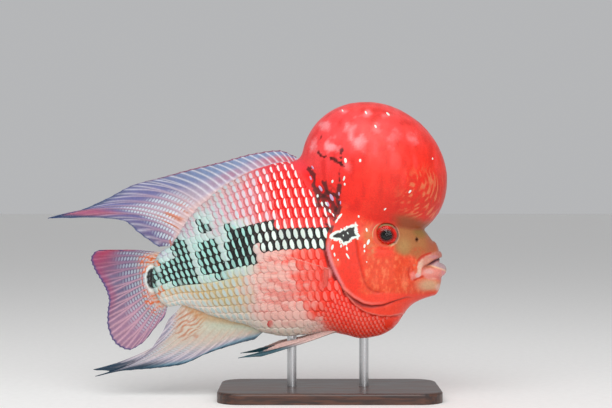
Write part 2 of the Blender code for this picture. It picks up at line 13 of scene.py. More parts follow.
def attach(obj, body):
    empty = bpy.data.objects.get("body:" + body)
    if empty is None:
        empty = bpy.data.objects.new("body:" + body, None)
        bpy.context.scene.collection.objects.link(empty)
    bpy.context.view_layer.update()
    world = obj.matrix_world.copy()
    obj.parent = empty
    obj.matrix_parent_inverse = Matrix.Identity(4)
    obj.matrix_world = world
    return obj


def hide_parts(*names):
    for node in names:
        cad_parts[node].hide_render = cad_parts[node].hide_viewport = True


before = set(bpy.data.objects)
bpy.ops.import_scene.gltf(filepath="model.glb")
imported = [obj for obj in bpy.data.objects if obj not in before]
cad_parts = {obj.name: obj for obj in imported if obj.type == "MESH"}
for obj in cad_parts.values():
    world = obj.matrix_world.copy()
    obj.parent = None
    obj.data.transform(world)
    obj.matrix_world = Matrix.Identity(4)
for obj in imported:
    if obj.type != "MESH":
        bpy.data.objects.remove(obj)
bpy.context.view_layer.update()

MM = 0.001

# Form of the body, in mm as everything below. Each row: X, back, belly, half width, height of the widest
# point, fullness of the section above and below it.
BODY = np.array((
    (-57, 112, 67.6, 7.5, 90, 2.2, 2.2), (-50, 123.5, 68.4, 9.2, 93, 2.1, 2.2),
    (-41, 137, 66.6, 11.8, 98, 2, 2.1), (-30, 147.8, 62, 15, 103, 1.9, 2),
    (-15, 159.2, 57.6, 19.6, 107, 1.85, 2), (0, 168, 53.8, 23.8, 108, 1.85, 2),
    (15, 173.4, 47.4, 26.8, 107, 1.9, 2), (30, 176.2, 45.5, 28.6, 105, 1.95, 2.05),
    (46, 176.4, 46.8, 29.6, 102, 2.05, 2.1), (60, 171, 48.9, 30, 100, 2.2, 2.1),
    (74, 163, 46.6, 30, 98, 2.4, 2.15), (86, 155.5, 44, 29.4, 97, 2.7, 2.2),
    (98, 148.8, 45.7, 28.4, 96, 3.1, 2.2), (108, 143.4, 50.2, 26.6, 96, 3.4, 2.2),
    (113, 140.6, 55, 24.8, 96, 3.4, 2.2), (118, 137.6, 62.6, 22.6, 96, 3.3, 2.2),
    (124, 133.2, 69.2, 19.8, 96, 3, 2.2), (131, 127.4, 73, 16.8, 95, 2.6, 2.2),
    (139.6, 116.8, 75.8, 13, 92, 2.3, 2.2),
), float)
TAIL_END, SNOUT_START = BODY[0, 0], BODY[-1, 0]
# How far the rounded ends reach past the first and last row, and how thin the tail root is at its end.
TAIL_ROOT_DEPTH, SNOUT_DEPTH, THIN_END = 14.0, 6.4, 0.3

# The nuchal hump is an egg that leans forwards.
HUMP_CENTRE = np.array((95.9, 0.0, 168.5))
HUMP_HALF_SIZES = np.array((57.0, 37.5, 49.9))
HUMP_LEAN = math.radians(37.6)
HUMP = (HUMP_CENTRE, HUMP_HALF_SIZES, HUMP_LEAN)

# The gill opening in the side view, from the nape down and forwards under the throat, and how far the cover
# stands out behind the head, from the height where that starts.
GILL_EDGE = np.array((
    (73.5, 185), (71.5, 150), (65.5, 134), (60, 122.5), (58.8, 111), (61.8, 99.5), (67.2, 88.5), (74, 77.5),
    (80.8, 69.8), (88.5, 65), (97.5, 62.5), (106, 61.8), (115, 62.8), (126, 56),
), float)
GILL_STEP, GILL_STEP_TOP, GILL_STEP_FADE = 1.3, 128.0, 10.0

# The eye is an egg, flat sideways, that stands out of the head by the last number below.
EYE = np.array((103.4, 0.0, 121.6))
EYE_RADIUS, EYE_HALF_DEPTH, EYE_STAND_OUT = 8.7, 5.6, 2.5
# Lips. Each row: share of the way from the corner of the mouth to its middle, X, half width, height, radius.
UPPER_LIP = np.array((
    (0, 127.9, 17.2, 90.6, 1.8), (0.16, 128.3, 16.8, 94.4, 2.1), (0.32, 130.0, 15.8, 98.4, 2.4),
    (0.48, 133.4, 13.6, 101.2, 3.0), (0.66, 138.0, 10.6, 103.6, 3.5), (0.80, 140.9, 8.4, 105.0, 3.4),
    (0.90, 142.9, 4.9, 105.8, 3.2), (1, 143.5, 0, 106.3, 3.1), (1.10, 142.9, -4.9, 105.8, 3.2),
), float)
LOWER_LIP = np.array((
    (0, 126.0, 17.6, 90.2, 1.5), (0.20, 129.4, 16.3, 91.8, 2.3), (0.40, 133.2, 13.9, 93.0, 3.2),
    (0.60, 137.4, 11.8, 94.0, 4.0), (0.78, 140.6, 10.0, 94.6, 4.5), (0.90, 143.2, 6.6, 95.0, 4.9),
    (1, 144.9, 0, 95.1, 5.0), (1.10, 143.2, -6.6, 95.0, 4.9),
), float)
# The gap between the lips is cut by a flat egg: its middle, half sizes and lean.
CLEFT = (np.array((148.6, 0.0, 102.6)), np.array((7.5, 13.0, 1.7)), math.radians(-14))
NOSTRIL_X, NOSTRIL_Z = 126.2, 117.8
# In the side view: the fleshy base of the pectoral fin, and the pad behind the corner of the mouth.
PECTORAL_BASE = (61.4, 92.6)
MOUTH_CORNER = (124.9, 90.5)

# Where the camera stands, which turns a place on the near flank into its place in the middle plane.
CAMERA = np.array((44.6, -1084.0, 144.5))


def smooth(low, high, value):
    """0 below low and 1 above high, with a soft rise between. High may be the smaller one."""
    t = np.clip((value - low) / (high - low), 0, 1)
    return t * t * (3 - 2 * t)


def along(table, x):
    """Rows of a table at x, its first column, on smooth curves that don't overshoot."""
    knots, values = table[:, 0], table[:, 1:]
    steps = np.diff(values, axis=0) / np.diff(knots)[:, None]
    rising = steps[:-1] * steps[1:] > 0
    both = np.where(rising, steps[:-1] + steps[1:], 1)
    middle = np.where(rising, 2 * steps[:-1] * steps[1:] / both, 0)
    slope = np.vstack([steps[:1], middle, steps[-1:]])
    x = np.clip(x, knots[0], knots[-1])
    i = np.clip(np.searchsorted(knots, x, "right") - 1, 0, len(knots) - 2)
    span = (knots[i + 1] - knots[i])[..., None]
    t = (x - knots[i])[..., None] / span
    start = values[i] * (1 + 2 * t) * (1 - t) ** 2 + slope[i] * span * t * (1 - t) ** 2
    return start + values[i + 1] * t * t * (3 - 2 * t) + slope[i + 1] * span * t * t * (t - 1)


def section(x):
    """Back, belly, half width, widest height and fullness of the body at x, rounded off at both ends."""
    back, belly, width, widest, crown, keel = np.moveaxis(along(BODY, x), -1, 0)
    past_snout = np.maximum(x - SNOUT_START, 0) / SNOUT_DEPTH
    past = np.where(x < TAIL_END, (TAIL_END - x) / TAIL_ROOT_DEPTH, past_snout)
    end = np.sqrt(np.clip(1 - past**2, 0, 1))
    width = width * np.where(x < TAIL_END, THIN_END + (1 - THIN_END) * end, end)
    return widest + (back - widest) * end, widest + (belly - widest) * end, width, widest, crown, keel


def flank(x, z):
    """Half width of the body at a place in the side view."""
    back, belly, width, widest, crown, keel = section(np.asarray(x, float))
    above = z >= widest
    share = np.abs(z - widest) / np.maximum(np.where(above, back - widest, widest - belly), 1e-6)
    full = np.where(above, crown, keel)
    return width * np.clip(1 - share**full, 0, 1) ** (1 / full)


def ring_place(ring, angle):
    """Y and Z at an angle round a section of the body, from 0 at the side to a quarter turn at the back."""
    back, belly, width, widest, crown, keel = ring
    up, out = np.sin(angle), np.cos(angle)
    power = 2 / np.where(up >= 0, crown, keel)
    reach = np.where(up >= 0, back - widest, widest - belly)
    return np.sign(out) * np.abs(out) ** power * width, widest + np.sign(up) * np.abs(up) ** power * reach


def gill_lift(z):
    """How far the gill cover stands out at a height."""
    return GILL_STEP * np.clip((GILL_STEP_TOP - z) / GILL_STEP_FADE, 0, 1)


def blend_low(a, b, width):
    """The lower of two fields, rounded where they meet."""
    overlap = np.maximum(width - np.abs(a - b), 0) / width
    return np.minimum(a, b) - overlap**2 * width / 4


def blend_high(a, b, width):
    """The higher of two fields, rounded where they meet."""
    return -blend_low(-a, -b, width)


def egg_field(p, centre, half_sizes, lean=0.0):
    """About the distance to an egg, below zero inside it."""
    q = p - centre
    turned = np.stack([
        q[:, 0] * math.cos(lean) - q[:, 2] * math.sin(lean), q[:, 1],
        q[:, 0] * math.sin(lean) + q[:, 2] * math.cos(lean),
    ], 1)
    share = np.maximum(np.linalg.norm(turned / half_sizes, axis=1), 1e-4)
    return (1 - 1 / share) * np.linalg.norm(q, axis=1)


def body_field(p):
    """About the distance to the body without its hump, below zero inside it."""
    x, y, z = p.T
    back, belly, width, widest, crown, keel = np.moveaxis(along(BODY, x), -1, 0)
    above = z >= widest
    reach = np.where(above, back - widest, widest - belly)
    full = np.where(above, crown, keel)
    tail = x < TAIL_END
    beyond = np.where(tail, TAIL_END - x, np.maximum(x - SNOUT_START, 0))
    past = beyond / np.where(tail, TAIL_ROOT_DEPTH, SNOUT_DEPTH)
    end = np.sqrt(np.clip(1 - past**2, 0, 1))
    width = np.where(tail, width * (THIN_END + (1 - THIN_END) * end) / np.maximum(end, 0.08), width)
    high = np.abs(z - widest) / reach
    side = np.clip(1 - high**full, 0, 1) ** (1 / full)
    lift = np.minimum(2 * side, 1) * gill_lift(z) * smooth(96, 116, x)
    out = np.maximum(np.abs(y) - lift, 0) / width
    share = np.sqrt((out**full + high**full) ** (2 / full) + past**2)
    off = np.sqrt(np.maximum(np.abs(y) - lift, 0) ** 2 + (z - widest) ** 2 + beyond**2)
    return (1 - 1 / np.maximum(share, 1e-3)) * off


def lip_line(table, steps=22):
    """Centres and radii of a lip from one corner of the mouth to the other."""
    share = 1 - np.abs(2 * np.arange(steps + 1) / steps - 1)
    rows = along(table, share)
    rows[:, 1] *= np.sign(np.arange(steps + 1) - steps / 2)
    return rows[:, :3], rows[:, 3]


def line_distance(p, line, radii=None):
    """Distance from points to a chain of segments, less its radius, and how far along the chain that is."""
    best, where = np.full(len(p), 1e9), np.zeros(len(p))
    radii = np.zeros(len(line)) if radii is None else radii
    for k, (a, b) in enumerate(zip(line[:-1], line[1:])):
        t = np.clip((p - a) @ (b - a) / ((b - a) @ (b - a)), 0, 1)
        radius = radii[k] + t * (radii[k + 1] - radii[k])
        away = np.linalg.norm(p - a - t[:, None] * (b - a), axis=1) - radius
        closer = away < best
        best[closer], where[closer] = away[closer], (k + t)[closer]
    return best, where


UPPER_LINE, LOWER_LINE = lip_line(UPPER_LIP), lip_line(LOWER_LIP)
EYE_OUT = float(flank(EYE[0], EYE[2])) + EYE_STAND_OUT - EYE_HALF_DEPTH
EYE_CENTRES = [EYE + (0, side * EYE_OUT, 0) for side in (-1, 1)]
SOCKET = np.array((EYE_RADIUS, EYE_HALF_DEPTH, EYE_RADIUS)) + 0.3
NOSTRILS = [np.array((NOSTRIL_X, side * float(flank(NOSTRIL_X, NOSTRIL_Z)), NOSTRIL_Z)) for side in (-1, 1)]
NOSTRIL_HALF_SIZES = np.array((0.9, 1.6, 1.3))


def skin_field(p):
    """About the distance to the skin: body and hump grown together, lips, open mouth, sockets, nostrils."""
    hump = egg_field(p, *HUMP)
    field = blend_low(body_field(p), hump, 2.0 + 8.0 * smooth(104, 58, p[:, 0]))
    face = np.flatnonzero(p[:, 0] > 88)
    near = p[face]
    part = field[face]
    mouth = near[:, 0] > 116
    for (line, radii), soft in ((UPPER_LINE, 0.9), (LOWER_LINE, 1.2)):
        part[mouth] = blend_low(part[mouth], line_distance(near[mouth], line, radii)[0], soft)
    part = blend_high(part, -egg_field(near, *CLEFT), 0.8)
    for centre in EYE_CENTRES:
        part = blend_high(part, -egg_field(near, centre, SOCKET), 1.2)
    for centre in NOSTRILS:
        part = blend_high(part, -egg_field(near, centre, NOSTRIL_HALF_SIZES), 0.5)
    field[face] = part
    return field


def settle(p, rounds=5):
    """Moves points onto the skin and gives its outward direction there."""
    step = 0.05
    for turn in range(rounds + 1):
        field = skin_field(p)
        slope = np.stack([(skin_field(p + step * axis) - field) / step for axis in np.eye(3)], 1)
        size = np.maximum(np.linalg.norm(slope, axis=1), 0.2)
        if turn < rounds:
            p = p - slope * np.clip(field / size**2, -2, 2)[:, None]
    return p, slope / size[:, None]


# Small tools for meshes.

def points_of(item):
    """The places of a mesh's points, in mm."""
    co = np.empty(len(item.data.vertices) * 3, np.float32)
    item.data.vertices.foreach_get("co", co)
    return co.reshape(-1, 3).astype(float) / MM


def set_points(item, p):
    item.data.vertices.foreach_set("co", (p * MM).astype(np.float32).ravel())
    item.data.update()


def select_only(*items):
    bpy.ops.object.select_all(action="DESELECT")
    for item in items:
        item.select_set(True)
    bpy.context.view_layer.objects.active = items[0]


def modify(item, kind, **settings):
    """Adds a modifier, sets it and applies it."""
    change = item.modifiers.new(kind.lower(), kind)
    for name, value in settings.items():
        setattr(change, name, value)
    select_only(item)
    bpy.ops.object.modifier_apply(modifier=change.name)


def named(item, name):
    item.name = name
    item.data.name = name
    return item


def store(item, name, values, kind="FLOAT"):
    """Keeps a number or a colour for each vertex."""
    field = item.data.attributes.get(name) or item.data.attributes.new(name, kind, "POINT")
    if kind == "FLOAT":
        field.data.foreach_set("value", np.asarray(values, np.float32).ravel())
    else:
        values = np.concatenate([values, np.ones((len(values), 1))], 1)
        field.data.foreach_set("color", values.astype(np.float32).ravel())


# Size of the skin's even squares before they are split finer.
SKIN_STEP = 1.7


def cut_egg(item, centre, half_sizes, lean=0.0):
    """Cuts an egg-shaped hollow."""
    bpy.ops.mesh.primitive_uv_sphere_add(
        segments=40, ring_count=20, radius=MM, location=centre * MM, rotation=(0, lean, 0),
    )
    cutter = bpy.context.object
    cutter.scale = half_sizes
    bpy.ops.object.transform_apply(location=True, rotation=True, scale=True)
    modify(item, "BOOLEAN", operation="DIFFERENCE", solver="EXACT", object=cutter)
    bpy.data.objects.remove(cutter)


def skin_start():
    """Body, hump and lips as closed forms, grown into one even mesh, with the mouth and the sockets cut."""
    bpy.ops.mesh.primitive_uv_sphere_add(segments=72, ring_count=160, radius=1.0)
    body = bpy.context.object
    unit = points_of(body) * MM
    turn = np.arctan2(unit[:, 1], unit[:, 0])
    front, rear = SNOUT_START + SNOUT_DEPTH, TAIL_END - TAIL_ROOT_DEPTH
    x = (front + rear) / 2 + (front / 2 - rear / 2) * unit[:, 2]
    y, z = ring_place(section(x), turn)
    set_points(body, np.stack([x, y, z], 1))
    bpy.ops.mesh.primitive_uv_sphere_add(
        segments=64, ring_count=48, radius=MM, location=HUMP_CENTRE * MM, rotation=(0, HUMP_LEAN, 0),
    )
    hump = bpy.context.object
    hump.scale = HUMP_HALF_SIZES
    bpy.ops.object.transform_apply(location=True, rotation=True, scale=True)
    forms = [body, hump]
    for line, radii in (UPPER_LINE, LOWER_LINE):
        for centre, radius in zip(line, radii):
            size = radius * 1.1 * MM
            bpy.ops.mesh.primitive_ico_sphere_add(subdivisions=2, radius=size, location=centre * MM)
            bpy.ops.object.transform_apply(location=True, rotation=True, scale=True)
            forms.append(bpy.context.object)
    select_only(*forms)
    bpy.ops.object.join()
    modify(body, "REMESH", mode="VOXEL", voxel_size=SKIN_STEP * MM)
    cut_egg(body, *CLEFT)
    for centre in EYE_CENTRES:
        cut_egg(body, centre, SOCKET)
    modify(body, "REMESH", mode="VOXEL", voxel_size=SKIN_STEP * MM)
    for centre in NOSTRILS:
        cut_egg(body, centre, NOSTRIL_HALF_SIZES)
    return body


def refine(item, wanted):
    """Splits each face whose middle is in a wanted place into four."""
    work = bmesh.new()
    work.from_mesh(item.data)
    work.faces.ensure_lookup_table()
    middle = np.array([f.calc_center_median() for f in work.faces]) / MM
    faces = [work.faces[i] for i in np.flatnonzero(wanted(middle))]
    edges = list({edge for face in faces for edge in face.edges})
    bmesh.ops.subdivide_edges(work, edges=edges, cuts=1, use_grid_fill=True)
    bmesh.ops.triangulate(work, faces=[f for f in work.faces if len(f.verts) > 4])
    work.to_mesh(item.data)
    work.free()


def side_of(flat, line):
    """Distance from a line of the side view, above zero over it or ahead of it, and how far along it is."""
    away, where = line_distance(flat, line)
    k = np.clip(where.astype(int), 0, len(line) - 2)
    start, step = line[k], line[k + 1] - line[k]
    turn = step[:, 0] * (flat[:, 1] - start[:, 1]) - step[:, 1] * (flat[:, 0] - start[:, 0])
    return away * np.sign(turn), where


def gill_side(p):
    """Distance in the side view from the gill opening, above zero on the head."""
    return side_of(p[:, [0, 2]], GILL_EDGE)[0]


def eye_distance(p):
    """Distance in the side view from the middle of the eye."""
    return np.hypot(p[:, 0] - EYE[0], p[:, 2] - EYE[2])


# Colours.

def seen(code):
    """A colour as seen, in sRGB hex, turned into the linear one that a shader works in."""
    part = np.array([int(code[k:k + 2], 16) for k in (0, 2, 4)]) / 255
    return np.where(part > 0.04045, ((part + 0.055) / 1.055) ** 2.4, part / 12.92)


def plain(code, points):
    """One colour for all of the points."""
    return np.tile(seen(code), (len(points), 1))


def tint(colour, code, amount):
    """Lays a colour over another, as thickly as amount says at each point."""
    return colour + (seen(code) - colour) * np.clip(amount, 0, 1)[:, None]


def painted(coat, layers):
    """Lays colours over a coat one after another."""
    for code, amount in layers:
        coat = tint(coat, code, amount)
    return coat


def noise(p, size, seed=0):
    """Soft random values from 0 to 1 in space, in patches of that size."""
    q = p / size + seed * 7.31
    cell = np.floor(q).astype(np.int64)
    part = q - cell
    part = part * part * (3 - 2 * part)
    total = np.zeros(len(p))
    for corner in itertools.product((0, 1), repeat=p.shape[1]):
        mixed = (cell + corner) @ np.array((73856093, 19349663, 83492791))[: p.shape[1]] + seed * 97531
        value = ((mixed ^ (mixed >> 13)) * 1274126177 & 0x7FFFFFFF) / 0x7FFFFFFF
        total += value * np.prod(np.where(corner, part, 1 - part), axis=1)
    return total


def seen_place(p):
    """Where the camera sees a point, in the middle plane. The far flank has the near one's places."""
    scale = -CAMERA[1] / (-CAMERA[1] - np.abs(p[:, 1]))
    return CAMERA[[0, 2]] + (p[:, [0, 2]] - CAMERA[[0, 2]]) * scale[:, None]


# Black marks of the flank in the side view: middle, half width, half height and lean.
MARKS = np.array((
    (37.5, 119.8, 31.0, 9.0, 0), (16.8, 121.5, 5.2, 10.5, 0), (-4.8, 112.4, 10.6, 16.4, 0.05),
    (-28.0, 103.5, 8.6, 14.4, 0.22), (-46.5, 101.2, 5.4, 16.2, 0.28), (-57.8, 92.8, 7.4, 8.6, 0.05),
    (-34.6, 129.4, 1.1, 5.4, 0.1), (-30.2, 129.6, 1.0, 5.2, -0.1), (-54.6, 114.4, 2.0, 4.2, -0.35),
))
# How round the corners of a mark are, and the oval spot on the tail root.
MARK_CORNER = 1.5
TAIL_SPOT, TAIL_SPOT_HALF = np.array((-70.8, 88.7)), np.array((4.2, 7.6))
# Outline of the black spot behind the eye.
EAR_SPOT = np.array((
    (64.1, 120.7), (68.1, 122.6), (71.2, 123.6), (76.2, 126.0), (81.5, 128.2), (80.5, 123.2), (82.4, 120.4),
    (78.7, 119.5), (75.9, 117.0), (73.1, 115.9), (70.6, 118.3), (65.0, 119.5),
))
# Pale flecks that stand alone on the hump, the nape and the cheek, as the camera sees them: place, half
# length, half width, turn in degrees, and 1 where the fleck is lilac.
LONE_FLECKS = np.array((
    (74.2, 177.1, 2.2, 1.2, 100, 0), (85.2, 177.1, 1.4, 1.0, 90, 0), (122.6, 153.8, 1.7, 0.8, 50, 0),
    (103.9, 140.6, 1.4, 0.6, 40, 0), (89.6, 213.1, 1.6, 0.8, 120, 0), (106.1, 212.1, 2.0, 0.8, 135, 0),
    (96.8, 202.7, 1.6, 0.8, 120, 0), (72.0, 214.6, 1.1, 0.6, 120, 0), (139.6, 178.5, 1.0, 0.5, 90, 0),
    (73.1, 163.7, 2.2, 0.8, 75, 0), (64.4, 161.4, 1.4, 0.9, 80, 0), (73.6, 159.3, 1.2, 0.8, 90, 0),
    (84.1, 135.1, 1.1, 0.8, 90, 0), (69.3, 152.1, 1.6, 0.7, 95, 1), (62.6, 138.9, 2.0, 1.0, 110, 0),
    (61.0, 144.4, 2.2, 1.0, 115, 1), (56.6, 144.5, 2.0, 0.9, 100, 0), (69.8, 135.1, 3.2, 1.0, 50, 0),
    (67.5, 131.8, 2.2, 0.8, 60, 0), (62.6, 131.2, 2.4, 1.0, 100, 0), (57.1, 129.1, 1.8, 0.9, 100, 0),
    (66.0, 106.5, 1.8, 0.7, 100, 0), (75.9, 105.4, 2.8, 0.8, 120, 0), (75.3, 111.1, 1.8, 0.8, 100, 0),
    (68.6, 102.6, 0.9, 0.6, 90, 0), (64.4, 112.1, 2.4, 1.0, 75, 0), (70.9, 113.0, 1.5, 0.8, 85, 0),
    (90.1, 125.1, 1.8, 0.8, 100, 0), (91.3, 115.9, 2.6, 1.1, 70, 0), (88.5, 112.9, 1.8, 0.9, 80, 0),
    (88.5, 109.2, 1.2, 0.7, 90, 0), (90.1, 101.0, 0.7, 0.5, 90, 0), (55.5, 156.2, 2.8, 1.1, 120, 1),
    (63.8, 149.4, 3.2, 1.3, 115, 1), (49.5, 171.9, 1.7, 0.7, 120, 1), (48.0, 164.0, 1.9, 0.7, 110, 1),
    (53.3, 150.5, 1.4, 0.9, 90, 0), (60.0, 144.5, 2.1, 0.9, 120, 0), (70.4, 145.5, 1.5, 0.6, 90, 1),
    (75.9, 122.6, 1.2, 0.5, 120, 0), (72.6, 120.9, 0.8, 0.5, 100, 0),
))
# The lateral line, which parts the two colour fields of the flank.
LATERAL_LINE = np.array(((-71, 90.6), (-50, 100.2), (-29, 104.9), (-5, 112.2), (33, 118.8), (68.6, 119.6)))


def mark_distance(place, far):
    """Distance from the nearest black mark, below zero inside it. The far flank's are a little different."""
    x = place[:, 0] + np.where(far, 3.2 * np.sin(place[:, 0] / 13), 0)
    z = place[:, 1] + np.where(far, 2.0 * np.sin(place[:, 0] / 9), 0)
    spot = np.hypot((x - TAIL_SPOT[0]) / TAIL_SPOT_HALF[0], (z - TAIL_SPOT[1]) / TAIL_SPOT_HALF[1])
    nearest = (spot - 1) * TAIL_SPOT_HALF.mean()
    for middle_x, middle_z, wide, high, lean in MARKS:
        off_x = np.abs(x - middle_x - lean * (middle_z - z)) - wide + MARK_CORNER
        off_z = np.abs(z - middle_z) - high + MARK_CORNER
        outside = np.hypot(np.maximum(off_x, 0), np.maximum(off_z, 0))
        inside = np.minimum(np.maximum(off_x, off_z), 0)
        nearest = np.minimum(nearest, outside + inside - MARK_CORNER)
    return nearest


def flank_looks(p):
    """Ground colour, black share, and the colour, width and strength of a scale's fleck at each point."""
    place = seen_place(p)
    x, z = place.T
    line = along(LATERAL_LINE, x)[:, 0]
    above = smooth(-4, 6, z - line)
    back, belly = section(x)[:2]
    loose = noise(p, 5.0, 3) - 0.5
    fine = noise(p, 2.2, 5) - 0.5
    red = above * smooth(-4, 24, x + 24 * loose + 0.10 * (z - 140))
    edge = np.interp(z, (50, 54, 65, 80, 102, 112, 120), (60, 55, 44, 37, 32, 30, 30))
    fingers = 5 * np.sin(z / 0.75 + 5 * fine) * smooth(114, 98, z) * smooth(60, 74, z)
    streaks = noise(np.stack([p[:, 0] / 9.0, p[:, 1] / 9.0, p[:, 2] / 1.3], 1), 1.0, 9)
    far = p[:, 1] > 0
    off = mark_distance(place, far) + 2.2 * fine
    from_spot = np.hypot((x - TAIL_SPOT[0]) / 0.8, z - TAIL_SPOT[1])
    broken_ring = smooth(3.2, 1.2, np.abs(from_spot - 12.8)) * smooth(0.42, 0.55, noise(p, 2.4, 8))
    ground = painted(plain("C9AEB8", p), (
        ("B9C4C0", smooth(26, -10, x) * smooth(22, 4, np.abs(z - line)) * 0.8),
        ("C6B488", (1 - above) * smooth(22, -10, x + 12 * loose) * smooth(2, -9, z - line + 8)),
        ("CC9A5C", (1 - above) * smooth(-14, -58, x) * smooth(-6, -18, z - line) * 0.7),
        ("E8B2A6", (1 - above) * smooth(-14, 18, x + 16 * loose) * 0.95),
        ("ABA4BC", smooth(-36, -60, x) * smooth(4, 12, z - line) * 0.7),
        ("E06C70", above * smooth(-30, 0, x + 14 * loose) * 0.75),
        ("EE1410", red),
        ("EA4450", above * smooth(12, 2, back - z) * smooth(-6, 20, x) * 0.7),
        ("D2ACA6", smooth(9, 3, back - z) * smooth(6, -6, x) * smooth(-50, -30, x) * 0.6),
        ("F04430", (1 - above) * smooth(-7, 9, x - edge + fingers + 16 * loose)),
        ("F52A14", (1 - above) * smooth(6, 26, x - edge + 12 * loose)),
        ("DA5246", (1 - above) * smooth(2, 12, x) * smooth(44, 30, x) * smooth(0.56, 0.70, streaks) * 0.6),
        ("E2D6C8", smooth(13, 3.5, z - belly) * smooth(62, 34, x) * (1 - above)),
        ("F03A24", smooth(70, 84, x) * smooth(70, 60, z)),
        ("C92018", 0.9 * smooth(2.4, 1.2, np.hypot(x - 17.3, z - 54.5))),
        ("BCDDD4", (0.85 - 0.80 * smooth(-6, 12, x)) * smooth(6.5, 0.5, off)),
        ("D8661E", 0.9 * broken_ring),
    ))
    black = smooth(0.7, -0.7, off)
    low_front = (1 - above) * smooth(-6, 20, x)
    fleck = painted(plain("B4C6C4", p), (
        ("CFCBD6", above * smooth(-26, 6, x)),
        ("F2F3F0", red),
        ("9ED2C8", black),
        ("E2F0E6", black * smooth(-2, 16, x)),
        ("ECC4B8", low_front * (1 - black)),
    ))
    wide = 0.52 - 0.22 * red
    core = smooth(15, 3, np.hypot((x + 4.8) / 1.1, (z - 113) / 1.4))
    wide = wide + (0.58 - wide) * black - 0.24 * black * core
    shown = 0.88 - 0.66 * low_front
    shown = shown + (1 - shown) * np.maximum(black, smooth(3, 0, off) * (x > 15))
    return ground, black, fleck, wide, shown


def polygon_distance(place, corners):
    """Distance from a closed outline, below zero inside it."""
    ring = np.vstack([corners, corners[:1]])
    away = line_distance(place, ring)[0]
    inside = np.zeros(len(place), bool)
    for a, b in zip(ring[:-1], ring[1:]):
        crosses = (a[1] > place[:, 1]) != (b[1] > place[:, 1])
        reach = a[0] + (place[:, 1] - a[1]) * (b[0] - a[0]) / (b[1] - a[1] if b[1] != a[1] else 1)
        inside ^= crosses & (place[:, 0] < reach)
    return np.where(inside, -away, away)


# Lines of the head in the side view: edge of the gill cover's plate, edge of the cheek, and the mouth line.
COVER_CREASE = np.array((
    (58.8, 117.5), (60.9, 104.6), (66.2, 91.5), (72.5, 80.3), (79.9, 74.1), (87.4, 70.0), (93.6, 68.7),
    (102.3, 69.4), (111.7, 72.4), (120.8, 75.0), (127.4, 74.2),
))
CHEEK_CREASE = np.array((
    (81.9, 117.6), (82.8, 107.0), (85.3, 96.5), (87.6, 87.6), (90.6, 82.0), (94.8, 79.2), (99.0, 78.4),
))
MOUTH_SLIT = np.array((
    (131.4, 95.6), (133.6, 97.2), (136.6, 98.9), (139.4, 100.4), (142.2, 102.2), (146.0, 103.4),
))
# Folds round the mouth in the side view: depth, width at the first and last place, and the places.
MOUTH_FOLDS = (
    (0.6, 0.8, 0.7, ((122.9, 98.6), (122.0, 94.6), (121.8, 91.2), (122.6, 87.0))),
    (0.6, 0.7, 1.5, ((140.0, 108.2), (136.6, 107.4), (133.0, 105.6), (130.4, 103.6), (128.0, 101.0))),
    (0.5, 0.6, 0.9, ((123.6, 87.2), (127.0, 87.9), (130.4, 89.3), (134.0, 90.8))),
)
# The lips in the side view.
UPPER_LIP_SHAPE = np.array((
    (149, 109.4), (142, 108.3), (138.1, 107.2), (134.5, 106.0), (131.5, 104), (129.2, 101), (128.5, 97),
    (128.1, 93.4), (126.6, 91.2), (127.2, 89.4), (129.6, 89.4), (130.7, 91.5), (130.7, 94.5), (131.3, 97),
    (133.4, 98.2), (136.3, 99.2), (139.5, 100.6), (141.7, 102.4), (149, 105),
))
LOWER_LIP_SHAPE = np.array((
    (144.5, 103.5), (141.7, 102.2), (139.5, 100.2), (136.3, 98.8), (133.4, 97.4), (132.0, 95),
    (131.8, 91.8), (133.6, 89.4), (137, 88), (141, 88.3), (146, 87.4), (153, 86), (153, 104),
))
# The olive patch from the brow to the snout.
FACE = np.array((
    (109, 137), (121, 133.5), (134, 131), (141, 124), (148, 111), (147, 105), (137.6, 107.6), (129, 103.2),
    (124, 104.6), (117, 106.8), (112.8, 110.5), (112.4, 117), (113.6, 126), (110, 132),
))
# Dark strokes of the hump and the nape in the side view: half width, then the places they run through.
DARK_STROKES = (
    (0.35, ((56.6, 197.0), (55.4, 189.7), (53.7, 182.8))),
    (0.55, ((55.4, 180.7), (60.2, 179.6), (63.6, 179.4))),
    (0.90, ((63.6, 179.4), (67.1, 176.8), (70.1, 174.7), (71.8, 172.5))),
    (1.10, ((71.3, 185.0), (71.3, 181.8))),
    (0.40, ((71.1, 181.0), (70.9, 176.0), (69.8, 168.0), (69.6, 160.0))),
    (1.50, (
        (47.3, 170.8), (49.9, 166.4), (50.7, 162.1), (49.9, 158.8), (51.5, 154.4), (53.3, 149.2),
        (53.3, 143.0),
    )),
    (1.10, ((51.5, 157.5), (56.7, 151.0))),
    (1.40, (
        (58.0, 160.5), (60.2, 154.4), (58.4, 150.1), (61.9, 148.3), (65.3, 144.0), (66.6, 139.8),
        (66.0, 132.0),
    )),
    (1.60, ((69.8, 158.5), (68.8, 152.7), (68.3, 147.5), (69.2, 141.9), (68.6, 137.4))),
    (1.20, ((56.7, 151.0), (58.6, 144.0), (62.0, 139.0))),
    (1.00, ((60.2, 154.4), (64.0, 151.5), (68.3, 150.0))),
    (0.90, ((66.6, 139.8), (69.5, 146.0))),
    (0.90, ((53.3, 149.2), (58.4, 150.1))),
    (1.10, ((60.4, 129.4), (64.0, 127.4), (62.4, 123.6))),
)
